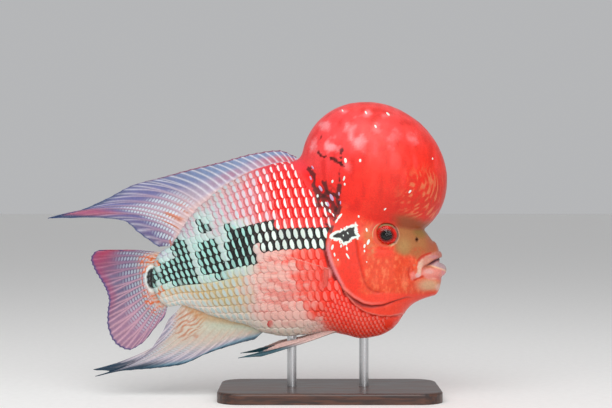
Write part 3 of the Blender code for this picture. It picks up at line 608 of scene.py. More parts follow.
# Pink patches of the hump: place, half width, half height and strength.
HUMP_PATCHES = (
    (78.8, 201.5, 4.2, 7.0, 0.9), (84.6, 192.0, 4.2, 6.0, 0.8), (63.2, 187.6, 5.2, 5.4, 0.9),
    (59.9, 202.7, 5.0, 3.8, 0.7), (50.8, 188.4, 3.0, 5.5, 0.7), (97.0, 201.0, 3.2, 3.6, 0.6),
    (89.6, 212.6, 4.5, 2.6, 0.6), (72.6, 214.2, 5.0, 2.0, 0.6), (110.5, 194.0, 5.0, 6.0, 0.4),
    (125.9, 194.0, 4.5, 6.0, 0.4), (106.0, 211.0, 4.0, 2.6, 0.5), (76.0, 174.0, 3.0, 5.0, 0.3),
)


def blob(x, z, at_x, at_z, wide, high, soft=0.6):
    """1 in the middle of an upright ellipse of the side view and 0 outside it."""
    return smooth(1.0, 1.0 - soft, np.hypot((x - at_x) / wide, (z - at_z) / high))


def near_fold(place, first, last, fold):
    """Distance from a fold of the side view, how much of it is left towards its ends, and its width there."""
    away, where = line_distance(place, np.array(fold))
    end = len(fold) - 1
    return away, smooth(0, 0.8, where) * smooth(end, end - 0.6, where), first + (last - first) * where / end


def lip_coat(place, coat, fine):
    """Colours of both lips, with painted shadow along the mouth line and under the lower lip's rim, painted
    shade on the lower lip's underside and a painted highlight along its rim.
    """
    x, z = place.T
    upper = smooth(0.7, -0.5, polygon_distance(place, UPPER_LIP_SHAPE) + 0.9 * fine)
    lower = smooth(0.8, -0.8, polygon_distance(place, LOWER_LIP_SHAPE) + 0.9 * fine)
    step = z - np.interp(x, (132, 138, 141.7, 145.5, 150), (97.6, 98.5, 97.2, 96.0, 94.2))
    shade = smooth(-2.6, -1.0, step) * smooth(0.2, -0.5, step)
    shade = shade * smooth(133.0, 135.5, x) * smooth(143, 139, x)
    slit = line_distance(place, MOUTH_SLIT)[0]
    return painted(coat, (
        ("DE6450", 0.8 * blob(x, z, 131.6, 94.5, 3.0, 5.0)),
        ("C88674", upper),
        ("DCB09A", upper * smooth(134, 129.5, x)),
        ("D8A2A2", upper * smooth(93.5, 90.5, z)),
        ("B2685A", upper * smooth(137, 142, x) * 0.8),
        ("BC7E84", upper * blob(x, z, 140.5, 104.8, 5.0, 2.0) * 0.6),
        ("DE877A", lower),
        ("D8A098", lower * blob(x, z, 136.8, 93.8, 5.0, 2.4) * 0.8),
        # Painted shade on the underside of the lower lip's front.
        ("C8625A", lower * smooth(91.8, 89.4, z + 0.8 * fine) * smooth(136, 142, x) * 0.7),
        ("DDA08C", lower * blob(x, z, 140.3, 88.2, 3.2, 1.6) * 0.7),
        ("D88A90", lower * blob(x, z, 147.6, 93.2, 2.2, 3.6) * 0.7),
        ("B9969A", lower * smooth(-0.2, 0.8, step)),
        ("B8683F", lower * shade * 0.8),
        # Painted highlight: a cream line along the lower lip's rim.
        ("E6BC98", lower * smooth(1.0, 0.2, np.abs(step)) * smooth(136, 139.5, x) * 0.75),
        ("B08A66", lower * smooth(148.6, 150.2, x) * 0.6),
        # Painted shadow along the mouth line between the lips.
        ("9C5038", smooth(2.4, 0.4, slit) * smooth(130.5, 134, x) * 0.7),
        ("6E4358", smooth(1.4, 0.3, slit) * smooth(136, 140, x) * 0.8),
        ("3E161C", smooth(0.7, 0.2, slit) * smooth(133, 139, x) * 0.8),
    ))


def head_coat(p):
    """Colour of the head and the throat, with painted shade in its creases and folds, inside the mouth, in
    the nostril and under the hump, and a painted highlight low on the gill cover.
    """
    place = seen_place(p)
    x, z = place.T
    loose, fine = noise(p, 7.0, 11) - 0.5, noise(p, 1.6, 12) - 0.5
    upright = noise(np.stack([x / 1.5, z / 3.4], 1), 1.0, 14)
    grainy = 0.6 * upright + 0.4 * noise(np.stack([x / 0.9, z / 1.6], 1), 1.0, 15)
    face = smooth(2.5, -2.5, polygon_distance(place, FACE) + 5 * loose)
    orbit = np.hypot(x - EYE[0], z - EYE[2])
    front, top = (x - EYE[0]) / np.maximum(orbit, 1), (z - EYE[2]) / np.maximum(orbit, 1)
    wide = 0.25 + 1.0 * smooth(0.0, 0.9, front)
    ring = smooth(wide + 0.3, wide - 0.2, np.abs(orbit - 9.0 - 0.5 * smooth(0.0, 0.9, front)))
    ring = ring * smooth(-0.95, -0.55, top + 0.5 * front)
    chin = blob(x, z, 137.0, 83.6, 14, 8, 0.8) * smooth(0.9, 0.2, np.abs(loose))
    chin = chin * smooth(77.0, 80.5, z + 3 * loose)
    cover, where = side_of(place, COVER_CREASE)
    long = smooth(0.0, 1.0, where) * smooth(len(COVER_CREASE) - 1.0, len(COVER_CREASE) - 3.5, where)
    # How far the painted shadow under the gill cover's crease spreads, along the crease.
    deep = smooth(0.0, 2.0, where) * smooth(8.0, 4.0, where)
    edge = gill_side(p)
    coat = painted(plain("E14824", p), (
        ("EA2C16", smooth(94, 80, x + 8 * loose) * 0.9),
        ("EA6848", smooth(0.10, 0.35, loose) * 0.6),
        ("EE8858", 0.55 * smooth(0.50, 0.90, grainy) * smooth(80, 90, x)),
        ("CC3014", 0.50 * smooth(0.50, 0.10, grainy)),
        ("D23A18", 0.45 * smooth(0.12, 0.34, fine) * smooth(84, 96, x)),
        # Painted highlight: a pale band low on the gill cover, just above its crease.
        ("F0685E", 0.5 * blob(x, z, 104, 74.5, 18, 5)),
        ("E8341A", 0.8 * blob(x, z, 102, 108.5, 11, 6)),
        ("BF7430", 0.65 * blob(x, z, 91.0, 121, 6.5, 11, 1.0)),
        ("C08E5C", 0.6 * blob(x, z, 93.5, 110, 6, 7.5, 1.0) * smooth(-0.3, 0.2, fine)),
        ("A96B3E", face),
        # Painted shade at the top of the face patch, under the overhang of the hump.
        ("7E4A26", face * smooth(125, 132, z - 0.2 * (122 - x)) * 0.85),
        ("87692F", face * blob(x, z, 131, 124, 8, 7) * 0.7),
        ("B08E58", face * blob(x, z, 118.5, 113, 8, 10, 1.0) * 0.6),
        ("A8523A", face * smooth(131, 139, x + 3 * loose) * 0.75),
        ("B9552F", face * blob(x, z, 129, 108, 8, 6) * (0.5 + fine)),
        ("C47F76", face * smooth(142, 146, x) * 0.8),
        ("C9866A", 0.5 * blob(x, z, 125, 94, 6, 9) * smooth(0.0, 0.3, fine)),
        ("C4381C", smooth(12.5, 10.8, orbit) * smooth(-0.2, 0.5, top) * 0.7),
        ("CE4424", smooth(9.6, 9.0, orbit)),
        ("C9A878", ring * 0.85),
        ("C49488", ring * smooth(0.5, 0.9, front) * 0.85),
        ("C99A78", chin),
        ("D8ADA0", 0.7 * blob(x, z, 144.0, 82.0, 3.5, 3.5)),
        ("EE3A22", smooth(79, 76, z + 2 * loose) * smooth(66, 72, x) * 0.85),
        ("EA7C72", (
            0.7 * long * smooth(0.3, 1.0, cover) * smooth(3.4, 1.6, cover) * smooth(8.0, 5.0, where)
        )),
        # Painted shadow cast by the gill cover's rim onto the membrane just below its crease.
        ("7A0E0A", (
            long * smooth(0.7, -0.2, cover) * smooth(-1.6 - 2.4 * deep, -0.6 - 0.6 * deep, cover) * 0.9
        )),
        ("EE8274", 0.75 * smooth(0.2, 0.5, edge) * smooth(1.7, 0.9, edge) * (z < 84)),
        ("D08088", (
            0.7 * smooth(0.2, 0.6, edge) * smooth(4.0, 1.8, edge) * smooth(80, 92, z)
            * smooth(122, 112, z)
        )),
        # Painted shade in the cheek crease.
        ("B82414", 0.65 * smooth(1.2, 0.2, line_distance(place, CHEEK_CREASE)[0])),
        ("E88A80", 0.7 * blob(x, z, *MOUTH_CORNER, 3.0, 4.4)),
    ))
    coat = lip_coat(place, coat, fine)
    # Painted shade inside the open front of the mouth.
    cleft = egg_field(p, *CLEFT)
    coat = tint(coat, "5E2024", smooth(0.5, -1.4, cleft) * 0.9)
    # Painted shade in the folds round the mouth.
    for deep, first, last, fold in MOUTH_FOLDS:
        away, left, wide = near_fold(place, first, last, fold)
        coat = tint(coat, "C02C12", 0.85 * left * smooth(1.5 * wide, 0.3 * wide, away + 1.0 * fine))
    # Painted shade in the nostril.
    return tint(coat, "40160E", smooth(1.5, 0.8, np.hypot((x - 127.6) / 0.9, z - 118.2)) * 0.9)


def add_folds(place, lift):
    """Presses the folds round the mouth and the mouth line into the skin."""
    for deep, first, last, fold in MOUTH_FOLDS:
        away, left, wide = near_fold(place, first, last, fold)
        lift = lift - deep * left * np.exp(-((away / wide) ** 2))
    away, where = line_distance(place, MOUTH_SLIT)
    deep = 0.5 + 0.9 * smooth(134, 140, place[:, 0])
    return lift - deep * np.exp(-((away / 0.7) ** 2)) * smooth(0, 1.0, where)


def hump_coat(p, coat):
    """Lays the colours of the hump and the dark strokes of the nape over a coat, with painted shade low on
    the hump's front and in the crease over the face.
    """
    place = seen_place(p)
    x, z = place.T
    big, small, tiny = noise(p, 13.0, 21), noise(p, 4.5, 22), noise(p, 1.7, 23)
    tall = noise(np.stack([p[:, 0], p[:, 1], 0.4 * p[:, 2]], 1), 4.2, 24)
    high = smooth(160, 208, z - 0.35 * (x - 95))
    hump = painted(plain("F02414", p), (
        ("F04C50", high * (0.45 + 0.45 * big)),
        ("F2585A", 0.34 * smooth(0.50, 0.80, tall) * smooth(145, 190, z)),
        ("CE140C", 0.50 * smooth(0.50, 0.18, tall)),
    ))
    ragged = 1.6 * (small - 0.5) + 0.9 * (tiny - 0.5)
    for at_x, at_z, wide, tall_half, strength in HUMP_PATCHES:
        spot = np.hypot((x - at_x) / wide, (z - at_z) / tall_half) + ragged
        hump = tint(hump, "F6A6AA", strength * smooth(1.4, 0.0, spot) * (0.3 + 1.0 * tall))
    lean = np.radians(12 + 1.5 * np.clip(z - 133, 0, 36))
    off_x, off_y, _ = ((p - HUMP_CENTRE) / HUMP_HALF_SIZES).T
    forward = 47 - 45 * np.arctan2(np.abs(off_y), off_x)
    run = forward * np.cos(lean) + (z - 140) * np.sin(lean)
    rise = (z - 140) * np.cos(lean) - forward * np.sin(lean)
    dashes = noise(np.stack([run / 4.2, rise / 1.1], 1), 1.0, 25)
    front = smooth(1.25, 0.55, np.hypot((x - 134) / 21, (z - 150) / 22))
    above_face = z - np.interp(x, (110, 122, 134), (133, 131.5, 127))
    hump = painted(hump, (
        # Painted shade, darker towards the bottom of the hump's front.
        ("BE1C14", smooth(172, 138, z - 0.2 * (x - 100)) * smooth(80, 112, x) * 0.6),
        ("D88456", front * smooth(0.56, 0.84, dashes) * 0.7),
        ("B2381E", front * smooth(0.40, 0.28, dashes) * 0.35),
        # Painted shadow in the crease where the hump overhangs the face.
        ("8F4622", smooth(8, 1, above_face) * smooth(106, 118, x) * 0.9),
    ))
    on_hump = smooth(2.0, -0.5, egg_field(p, *HUMP))
    mixed = coat + (hump - coat) * on_hump[:, None]
    nape = blob(x, z, 60.5, 145.0, 12.5, 20.0, 0.7) * smooth(0.42, 0.58, 0.35 * small + 0.65 * tiny)
    mixed = tint(mixed, "5A1612", 0.85 * nape)
    for width, line in DARK_STROKES:
        away = line_distance(place, np.array(line))[0] + 1.0 * width * (small - 0.5) + 2.4 * (tiny - 0.5)
        shade = "40120F" if width < 1.05 else "551A1C"
        mixed = tint(mixed, shade, 0.92 * smooth(width + 0.35, width - 0.35, away))
    return mixed


def skin_coat(p):
    """Colour of the skin everywhere, with the marks of the head and the flank."""
    ground, black = flank_looks(p)[:2]
    coat = tint(ground, "141210", black * 0.9)
    edge = gill_side(p)
    coat = coat + (head_coat(p) - coat) * smooth(-0.6, 0.3, edge)[:, None]
    coat = hump_coat(p, coat)
    shade = smooth(0.2, -0.5, edge) * smooth(-2.6, -1.0, edge) * smooth(132, 126, p[:, 2])
    place = seen_place(p)
    ear = polygon_distance(place, EAR_SPOT) + 1.4 * (noise(p, 1.3, 31) - 0.5)
    return painted(coat, (
        ("6A100C", shade * (0.9 - 0.5 * smooth(86, 70, p[:, 2]))),
        ("EE8A84", 0.75 * blob(*place.T, *PECTORAL_BASE, 4.0, 5.5) * (edge < 0)),
        ("E2EFE6", 0.95 * smooth(2.2, 1.5, ear + 2.6 * (noise(p, 1.5, 33) - 0.5))),
        ("0B0A09", smooth(0.3, -0.3, ear)),
    ))


def skin_relief(p):
    """How far the skin stands out of its smooth form: gill cover, creases, orbit, lips, hump."""
    place = seen_place(p)
    x, z = place.T
    side = np.clip(2 * flank(p[:, 0], p[:, 2]) / np.maximum(section(p[:, 0])[2], 1.0), 0, 1)
    edge = gill_side(p)
    lift = gill_lift(p[:, 2]) * side * smooth(-0.25, 0.35, edge) * (1 - smooth(96, 116, p[:, 0]))
    lift -= 0.6 * smooth(-3.4, -0.6, edge) * smooth(0.1, -0.4, edge) * (p[:, 2] < 128)
    lift += 0.25 * np.exp(-((edge - 1.6) / 1.1) ** 2) * (p[:, 2] < 126)
    cover, where = side_of(place, COVER_CREASE)
    long = smooth(0.0, 1.5, where) * smooth(len(COVER_CREASE) - 1.0, len(COVER_CREASE) - 3.5, where)
    lift += 1.1 * long * smooth(-0.4, 0.7, cover) * np.exp(-np.maximum(cover, 0) / 12)
    lift -= 1.0 * long * np.exp(-(((cover + 0.9) / 1.0) ** 2))
    lift -= 0.5 * np.exp(-((line_distance(place, CHEEK_CREASE)[0] / 0.8) ** 2))
    cheek = side_of(place, CHEEK_CREASE)[0]
    plump = smooth(-0.2, 2.0, cheek) * np.exp(-np.maximum(cheek, 0) / 9)
    lift += 0.6 * plump * smooth(122, 112, z) * smooth(76, 82, z)
    lift += 0.5 * blob(x, z, *MOUTH_CORNER, 3.4, 4.6, 1.0)
    lift = add_folds(place, lift)
    orbit = np.hypot((x - EYE[0] - 0.6) / 1.05, (z - EYE[2]) / 0.97)
    lift += 0.25 * np.exp(-(((orbit - 10.0) / 1.0) ** 2)) - 0.15 * np.exp(-(((orbit - 12.2) / 1.3) ** 2))
    lift += 1.2 * blob(*place.T, *PECTORAL_BASE, 4.4, 6.0, 1.0) * (edge < -0.3)
    hump = smooth(1.0, -1.0, egg_field(p, *HUMP))
    lift += hump * (1.0 * (noise(p, 15.0, 21) - 0.5) + 0.5 * (noise(p, 5.5, 22) - 0.5))
    lift += 0.16 * (edge > 0.5) * (noise(p, 2.4, 41) - 0.5)
    lift -= 0.18 * smooth(-0.5, -1.5, edge) * (1 - hump)
    for line, radii in (UPPER_LINE, LOWER_LINE):
        lip = np.exp(-((line_distance(p, line, radii)[0] / 0.6) ** 2))
        lift += 0.05 * lip * np.sin(np.arctan2(p[:, 1], p[:, 0] - 125) * 38 + 2 * noise(p, 2.0, 43))
    return lift


def finish_piece(item, name, material, nodes):
    """Names a piece, gives it its material in one slot, hangs it on the root body, and hides the CAD nodes it
    takes the place of.
    """
    named(item, name)
    item.data.materials.clear()
    item.data.materials.append(material)
    select_only(item)
    bpy.ops.object.shade_smooth()
    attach(item, "root")
    if nodes:
        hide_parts(*nodes)
    return item


# Places where the skin's faces are split finer, because its form or its markings are fine there.

def near_head(middle):
    return (gill_side(middle) > -3) & (middle[:, 2] < 150)


def near_mouth_and_eye(middle):
    x, _, z = middle.T
    mouth = (x > 120.5) & (z < 110) & (z > 85)
    orbit = eye_distance(middle)
    ear = np.hypot((x - 73) / 12, (z - 121) / 9) < 1
    return mouth | ear | ((orbit < 11.0) & (orbit > 7.4))


def near_nape(middle):
    x, _, z = middle.T
    return (x > 45) & (x < 74) & (z > 135) & (z < 190)


def near_hump_front(middle):
    x, _, z = middle.T
    return (x > 116) & (z > 150) & (z < 172)


FLESH_NODES = ("head", "nuchal_hump", "trunk", "tail_root", "upper_lip", "lower_lip")


def make_skin():
    """One closed skin over head, hump, trunk, tail root and lips."""
    skin = skin_start()
    set_points(skin, settle(points_of(skin), 6)[0])
    refine(skin, near_head)
    set_points(skin, settle(points_of(skin), 3)[0])
    for fine_place in (near_mouth_and_eye, near_nape, near_hump_front):
        refine(skin, fine_place)
    placed, facing = settle(points_of(skin), 3)
    store(skin, "coat", skin_coat(placed), "FLOAT_COLOR")
    set_points(skin, placed + facing * skin_relief(placed)[:, None])
    return finish_piece(skin, "skin", WET_SKIN, FLESH_NODES)


# Scale rows: X, pitch along the body and height of a row there.
SCALE_PITCH = np.array((
    (-72, 3.5, 5.0), (-50, 3.8, 5.6), (-28, 4.3, 6.4), (-5, 4.8, 7.2), (30, 5.3, 7.7), (70, 5.5, 7.8),
))
BREAST_PITCH = np.array(((30, 3.8, 4.6), (60, 3.4, 4.2), (90, 3.0, 3.8), (125, 2.8, 3.6)))
# One scale: its cross rows from front to rear, how far each rises off the skin, its ends as shares of the
# pitch, and its lengthwise rows from low to high.
PLATE_BACK = np.array((0.0, 0.12, 0.40, 0.70, 1.0))
PLATE_RISE = np.array((-0.20, 0.02, 0.09, 0.15, 0.18))
FRONT_END, REAR_END, REAR_ROUND = 0.55, 0.60, 0.36
PLATE_ACROSS = np.linspace(-1, 1, 7)
PLATE_DEPTH = 0.22
EAR_FLECKS = 40


class Girth:
    """Places on the flank by X and by distance round the body from a line."""

    def __init__(self, line):
        self.x = np.arange(-72.0, 131.0)
        angle = np.radians(np.linspace(-90, 90, 241))
        y, z = ring_place([c[:, None] for c in section(self.x)], angle)
        run = np.cumsum(np.hypot(np.diff(y, prepend=y[:, :1]), np.diff(z, prepend=z[:, :1])), axis=1)
        level = z[:, 0] if line is None else along(line, self.x)[:, 0]
        start = np.array([np.interp(a, b, c) for a, b, c in zip(level, z, run)])
        self.low, self.high = -start, run[:, -1] - start
        self.t = np.arange(-150.0, 151.0)
        self.yz = np.array([
            [np.interp(self.t, c - s, a), np.interp(self.t, c - s, b)]
            for s, a, b, c in zip(start, y, z, run)
        ]).transpose(0, 2, 1)

    def place(self, x, t):
        """The point at X and at a distance round the body."""
        i = np.clip(x - self.x[0], 0, len(self.x) - 1.001)
        j = np.clip(t - self.t[0], 0, len(self.t) - 1.001)
        a, b = i.astype(int), j.astype(int)
        u, v = (i - a)[..., None], (j - b)[..., None]
        yz = (self.yz[a, b] * (1 - v) + self.yz[a, b + 1] * v) * (1 - u)
        yz = yz + (self.yz[a + 1, b] * (1 - v) + self.yz[a + 1, b + 1] * v) * u
        return np.concatenate([x[..., None], yz], -1)

    def facing(self, x, t):
        """The outward direction there."""
        ahead = self.place(x + 1, t) - self.place(x - 1, t)
        up = self.place(x, t + 1) - self.place(x, t - 1)
        out = np.cross(up, ahead)
        out *= np.where(out[..., 1:2] + 0.02 < 0, -1, 1)
        return out / np.maximum(np.linalg.norm(out, axis=-1, keepdims=True), 1e-9)


def plate_seats(girth, pitches, x_from, x_to):
    """Each scale's X, distance round the body, pitch and row height. Every other row is shifted."""
    x = np.arange(x_from, x_to, 0.25)
    count = np.concatenate([[0], np.cumsum(0.25 / along(pitches, x)[:-1, 0])])
    seats = []
    for row in range(-20, 20):
        shift = 0.5 * (row % 2)
        at = np.interp(np.arange(0, count[-1] - 1) + shift, count, x)
        pitch, high = along(pitches, at).T
        t = (row + 0.5) * high
        low, top = np.interp(at, girth.x, girth.low), np.interp(at, girth.x, girth.high)
        inside = (t > low + 0.25 * high) & (t < top - 0.3 * high)
        seats.append(np.stack([at, t, pitch, high], 1)[inside])
    return np.concatenate(seats)


def lattice(girth, seats, side):
    """Points and outward directions of every scale's grid."""
    x, t, pitch, high = (seats[:, k][:, None, None] for k in range(4))
    back, across = PLATE_BACK[:, None], PLATE_ACROSS[None, :]
    rear_end = REAR_END - REAR_ROUND * np.abs(across) ** 2.2
    step = (FRONT_END - (FRONT_END + rear_end) * back) * pitch
    up = across * 0.57 * high * (1 - 0.12 * back**2)
    lean = -0.20 - 0.26 * smooth(12, -30, x)
    at_x, at_t = x + step + lean * up, t + up
    spot, facing = girth.place(at_x, at_t), girth.facing(at_x, at_t)
    flip = np.array((1.0, side, 1.0))
    return spot * flip, facing * flip


def ear_border():
    """Short flecks all round the ear spot, as rows of the same kind as the lone flecks."""
    n = EAR_FLECKS
    luck = np.random.default_rng(7)
    rim = np.vstack([EAR_SPOT, EAR_SPOT[:1]])
    at = np.linspace(0, len(rim) - 1, n, endpoint=False) + luck.uniform(-0.1, 0.1, n)
    k = np.clip(at.astype(int), 0, len(rim) - 2)
    spots = rim[k] + (rim[k + 1] - rim[k]) * (at - k)[:, None]
    away = spots - EAR_SPOT.mean(0)
    spots = spots + away / np.linalg.norm(away, axis=1)[:, None] * luck.uniform(0.9, 2.1, n)[:, None]
    turn = np.degrees(np.arctan2(away[:, 1], away[:, 0])) + luck.uniform(-50, 50, n)
    long, wide = luck.uniform(0.9, 1.8, n), luck.uniform(0.5, 0.85, n)
    return np.column_stack([spots, long, wide, turn, np.zeros(n)])


def lone_flecks(skin):
    """Points and outward directions of the lone flecks, laid on the skin where the camera sees them."""
    table = np.vstack([LONE_FLECKS, ear_border()])
    surface = BVHTree.FromObject(skin, bpy.context.evaluated_depsgraph_get())
    along_it = np.linspace(-1, 1, len(PLATE_BACK))
    points, facings, lilac = [], [], []
    for side in (-1, 1):
        start = CAMERA * (1, -side, 1)
        for x, z, long, wide, turn, is_lilac in table:
            round_off = np.sqrt(1 - 0.95 * along_it**2)[:, None]
            u, v = np.broadcast_arrays(long * along_it[:, None], wide * PLATE_ACROSS * round_off)
            c, s = math.cos(math.radians(turn)), math.sin(math.radians(turn))
            seen_x, seen_z = x + u * c - v * s, z + u * s + v * c
            aims = (np.stack([seen_x, 0 * u, seen_z], -1) - start).reshape(-1, 3)
            hits = [surface.ray_cast(Vector(start * MM), Vector(aim).normalized()) for aim in aims]
            if any(hit[0] is None for hit in hits):
                continue
            points.append(np.array([hit[0] for hit in hits]).reshape(*u.shape, 3) / MM)
            facings.append(np.array([hit[1] for hit in hits]).reshape(*u.shape, 3))
            lilac.append(is_lilac)
    return np.array(points), np.array(facings), np.array(lilac)


def build_plates(spot, facing, rise):
    """Closed scales as vertices, faces and each vertex's place on its scale."""
    n, rows, columns, _ = spot.shape
    top = spot + facing * rise[..., None]
    under = spot + facing * (rise - PLATE_DEPTH - 0.25 * (1 - PLATE_BACK)[:, None])[..., None]
    ring = [(0, c) for c in range(columns)] + [(r, columns - 1) for r in range(1, rows)]
    ring += [(rows - 1, c) for c in range(columns - 2, -1, -1)] + [(r, 0) for r in range(rows - 2, 0, -1)]
    ring = np.array(ring)
    points = np.concatenate([top.reshape(n, -1, 3), under[:, ring[:, 0], ring[:, 1]]], 1)
    index = np.arange(rows * columns).reshape(rows, columns)
    squares = np.stack([index[:-1, :-1], index[:-1, 1:], index[1:, 1:], index[1:, :-1]], -1)
    faces = [tuple(q) for q in squares.reshape(-1, 4)]
    loop = index[ring[:, 0], ring[:, 1]]
    lower = rows * columns + np.arange(len(ring))
    for k in range(len(ring)):
        after = (k + 1) % len(ring)
        faces.append((loop[after], loop[k], lower[k], lower[after]))
    faces.append(tuple(lower))
    places = [(b, a) for b in PLATE_BACK for a in PLATE_ACROSS]
    places += [(PLATE_BACK[r], PLATE_ACROSS[c]) for r, c in ring]
    return points, faces, np.array(places)


def scale_grids():
    """Grids, outward directions and middles of every scale of flanks, tail root and breast, on both sides."""
    flanks, breast = Girth(LATERAL_LINE), Girth(None)
    spots, facings, middles = [], [], []
    for girth, pitches, x_from, x_to in ((flanks, SCALE_PITCH, -69, 74), (breast, BREAST_PITCH, 40, 122)):
        seats = plate_seats(girth, pitches, x_from, x_to)
        middle = girth.place(seats[:, 0], seats[:, 1])
        x, _, z = middle.T
        on_breast = (x > 40) & (z < 50 + 1.1 * (x - 42)) & (z < 86)
        hump = egg_field(middle, *HUMP)
        fin_base = blob(x, z, *PECTORAL_BASE, 5.0, 7.0) > 0
        kept = (gill_side(middle) < -0.8) & (hump > 1.0) & (on_breast == (girth is breast)) & ~fin_base
        for side in (-1, 1):
            spot, facing = lattice(girth, seats[kept], side)
            spots.append(spot)
            facings.append(facing)
            middles.append(middle[kept] * (1, side, 1))
    return map(np.concatenate, (spots, facings, middles))


def make_scales(skin):
    """Overlapping scales and the lone flecks, each a thin closed plate."""
    spot, facing, middle = scale_grids()
    below_line = smooth(4, -8, middle[:, 2] - along(LATERAL_LINE, middle[:, 0])[:, 0])
    low_front = below_line * smooth(-5, 15, middle[:, 0])
    size = (np.interp(middle[:, 0], (40, 70), (1.0, 0.75)) * (1 - 0.4 * low_front))[:, None, None]
    rise = (PLATE_RISE[:, None] - 0.08 * PLATE_ACROSS**2 * PLATE_BACK[:, None]) * size + 0.03
    lone_spot, lone_facing, lilac = lone_flecks(skin)
    dome = 1 - np.linspace(-1, 1, len(PLATE_BACK))[:, None] ** 2
    dome = 0.30 * dome * (1 - PLATE_ACROSS**2) - 0.05 + 0 * lone_spot[..., 0]
    spot, facing = np.concatenate([spot, lone_spot]), np.concatenate([facing, lone_facing])
    points, pattern, places = build_plates(spot, facing, np.concatenate([rise, dome]))
    n, each = points.shape[:2]
    along_edge = points[:, 1] - points[:, 0]
    turned = np.cross(along_edge, points[:, len(PLATE_ACROSS) + 1] - points[:, 1])
    inwards = np.sum(turned * facing[:, 0, 0], axis=1) < 0
    flipped = [tuple(reversed(face)) for face in pattern]
    faces = []
    for k in range(n):
        faces += [tuple(int(v) + k * each for v in face) for face in (flipped if inwards[k] else pattern)]
    mesh = bpy.data.meshes.new("scales")
    mesh.from_pydata((points.reshape(-1, 3) * MM).tolist(), [], faces)
    item = bpy.data.objects.new("scales", mesh)
    bpy.context.scene.collection.objects.link(item)
    middle = np.concatenate([middle, lone_spot.mean((1, 2))])
    paint_scales(item, points, middle, lilac)
    lay_out_plates(item, n, len(pattern), each, places)
    finish_piece(item, "scales", PEARLY_SCALE, ())


def paint_scales(item, points, middle, lilac):
    """Gives the scales the colours of the skin under them, and the lone flecks, the last ones, their own."""
    n, each = points.shape[:2]
    p = points.reshape(-1, 3)
    lone = np.repeat(np.arange(n) >= n - len(lilac), each)
    ground, black, fleck, wide, shown = flank_looks(0.5 * p + 0.5 * np.repeat(middle, each, axis=0))
    whole = np.repeat(flank_looks(middle)[1], each)
    black = np.where(p[:, 0] > -62, smooth(0.25, 0.75, whole), black)
    jitter = np.repeat(noise(middle, 0.7, 51), each)
    coat = hump_coat(p, ground) * (0.93 + 0.14 * jitter)[:, None]
    lilac = np.repeat(np.concatenate([np.zeros(n - len(lilac)), lilac]), each)
    pale = tint(plain("DFEDE4", p), "BFA2C4", lilac)
    store(item, "coat", np.where(lone[:, None], pale, coat), "FLOAT_COLOR")
    store(item, "black", np.where(lone, 0, black))
    store(item, "fleck", fleck, "FLOAT_COLOR")
    store(item, "fleck_wide", wide * 0.43)
    store(item, "fleck_bend", 0.02 + 0.08 * smooth(0.40, 0.30, wide))
    store(item, "fleck_shown", np.where(lone, 0, np.clip(shown * (0.6 + 0.7 * jitter), 0, 1)))


def lay_out_plates(item, n, faces_each, each, places):
    """Two UV maps: a scale's own square for its fleck, and a sheet with a cell for each scale for baking."""
    mesh = item.data
    vertex = np.empty(len(mesh.loops), np.int32)
    mesh.loops.foreach_get("vertex_index", vertex)
    length = 1 - REAR_ROUND / (FRONT_END + REAR_END) * np.abs(places[:, 1]) ** 2.2
    flat = np.stack([places[:, 0] * length, 0.5 + 0.5 * places[:, 1]], 1)[vertex % each]
    mesh.uv_layers.new(name="Plate").data.foreach_set("uv", flat.astype(np.float32).ravel())
    own = np.stack([places[:, 0], 0.5 + 0.5 * places[:, 1]], 1)[vertex % each]
    sides = [p.loop_total for p in mesh.polygons]
    face_of = np.repeat(np.arange(len(mesh.polygons)), sides)
    within = face_of % faces_each
    top = (len(PLATE_BACK) - 1) * (len(PLATE_ACROSS) - 1)
    across = int(math.ceil(math.sqrt(n)))
    cell = vertex // each
    corner = np.arange(len(vertex)) - np.repeat([p.loop_start for p in mesh.polygons], sides)
    rim_place = (within - top + np.isin(corner, (2, 3))) / (faces_each - top)
    rim = np.stack([0.80 + 0.06 * np.isin(corner, (1, 2)), rim_place], 1)
    under = np.stack([0.90 + 0.05 * own[:, 0], 0.1 + 0.8 * own[:, 1]], 1)
    upper = np.stack([0.06 + 0.68 * own[:, 0], 0.08 + 0.84 * own[:, 1]], 1)
    local = np.where((within < top)[:, None], upper, rim)
    local = np.where((within == faces_each - 1)[:, None], under, local)
    sheet = (np.stack([cell % across, cell // across], 1) + local) / across
    mesh.uv_layers.new(name="OFBake").data.foreach_set("uv", sheet.astype(np.float32).ravel())


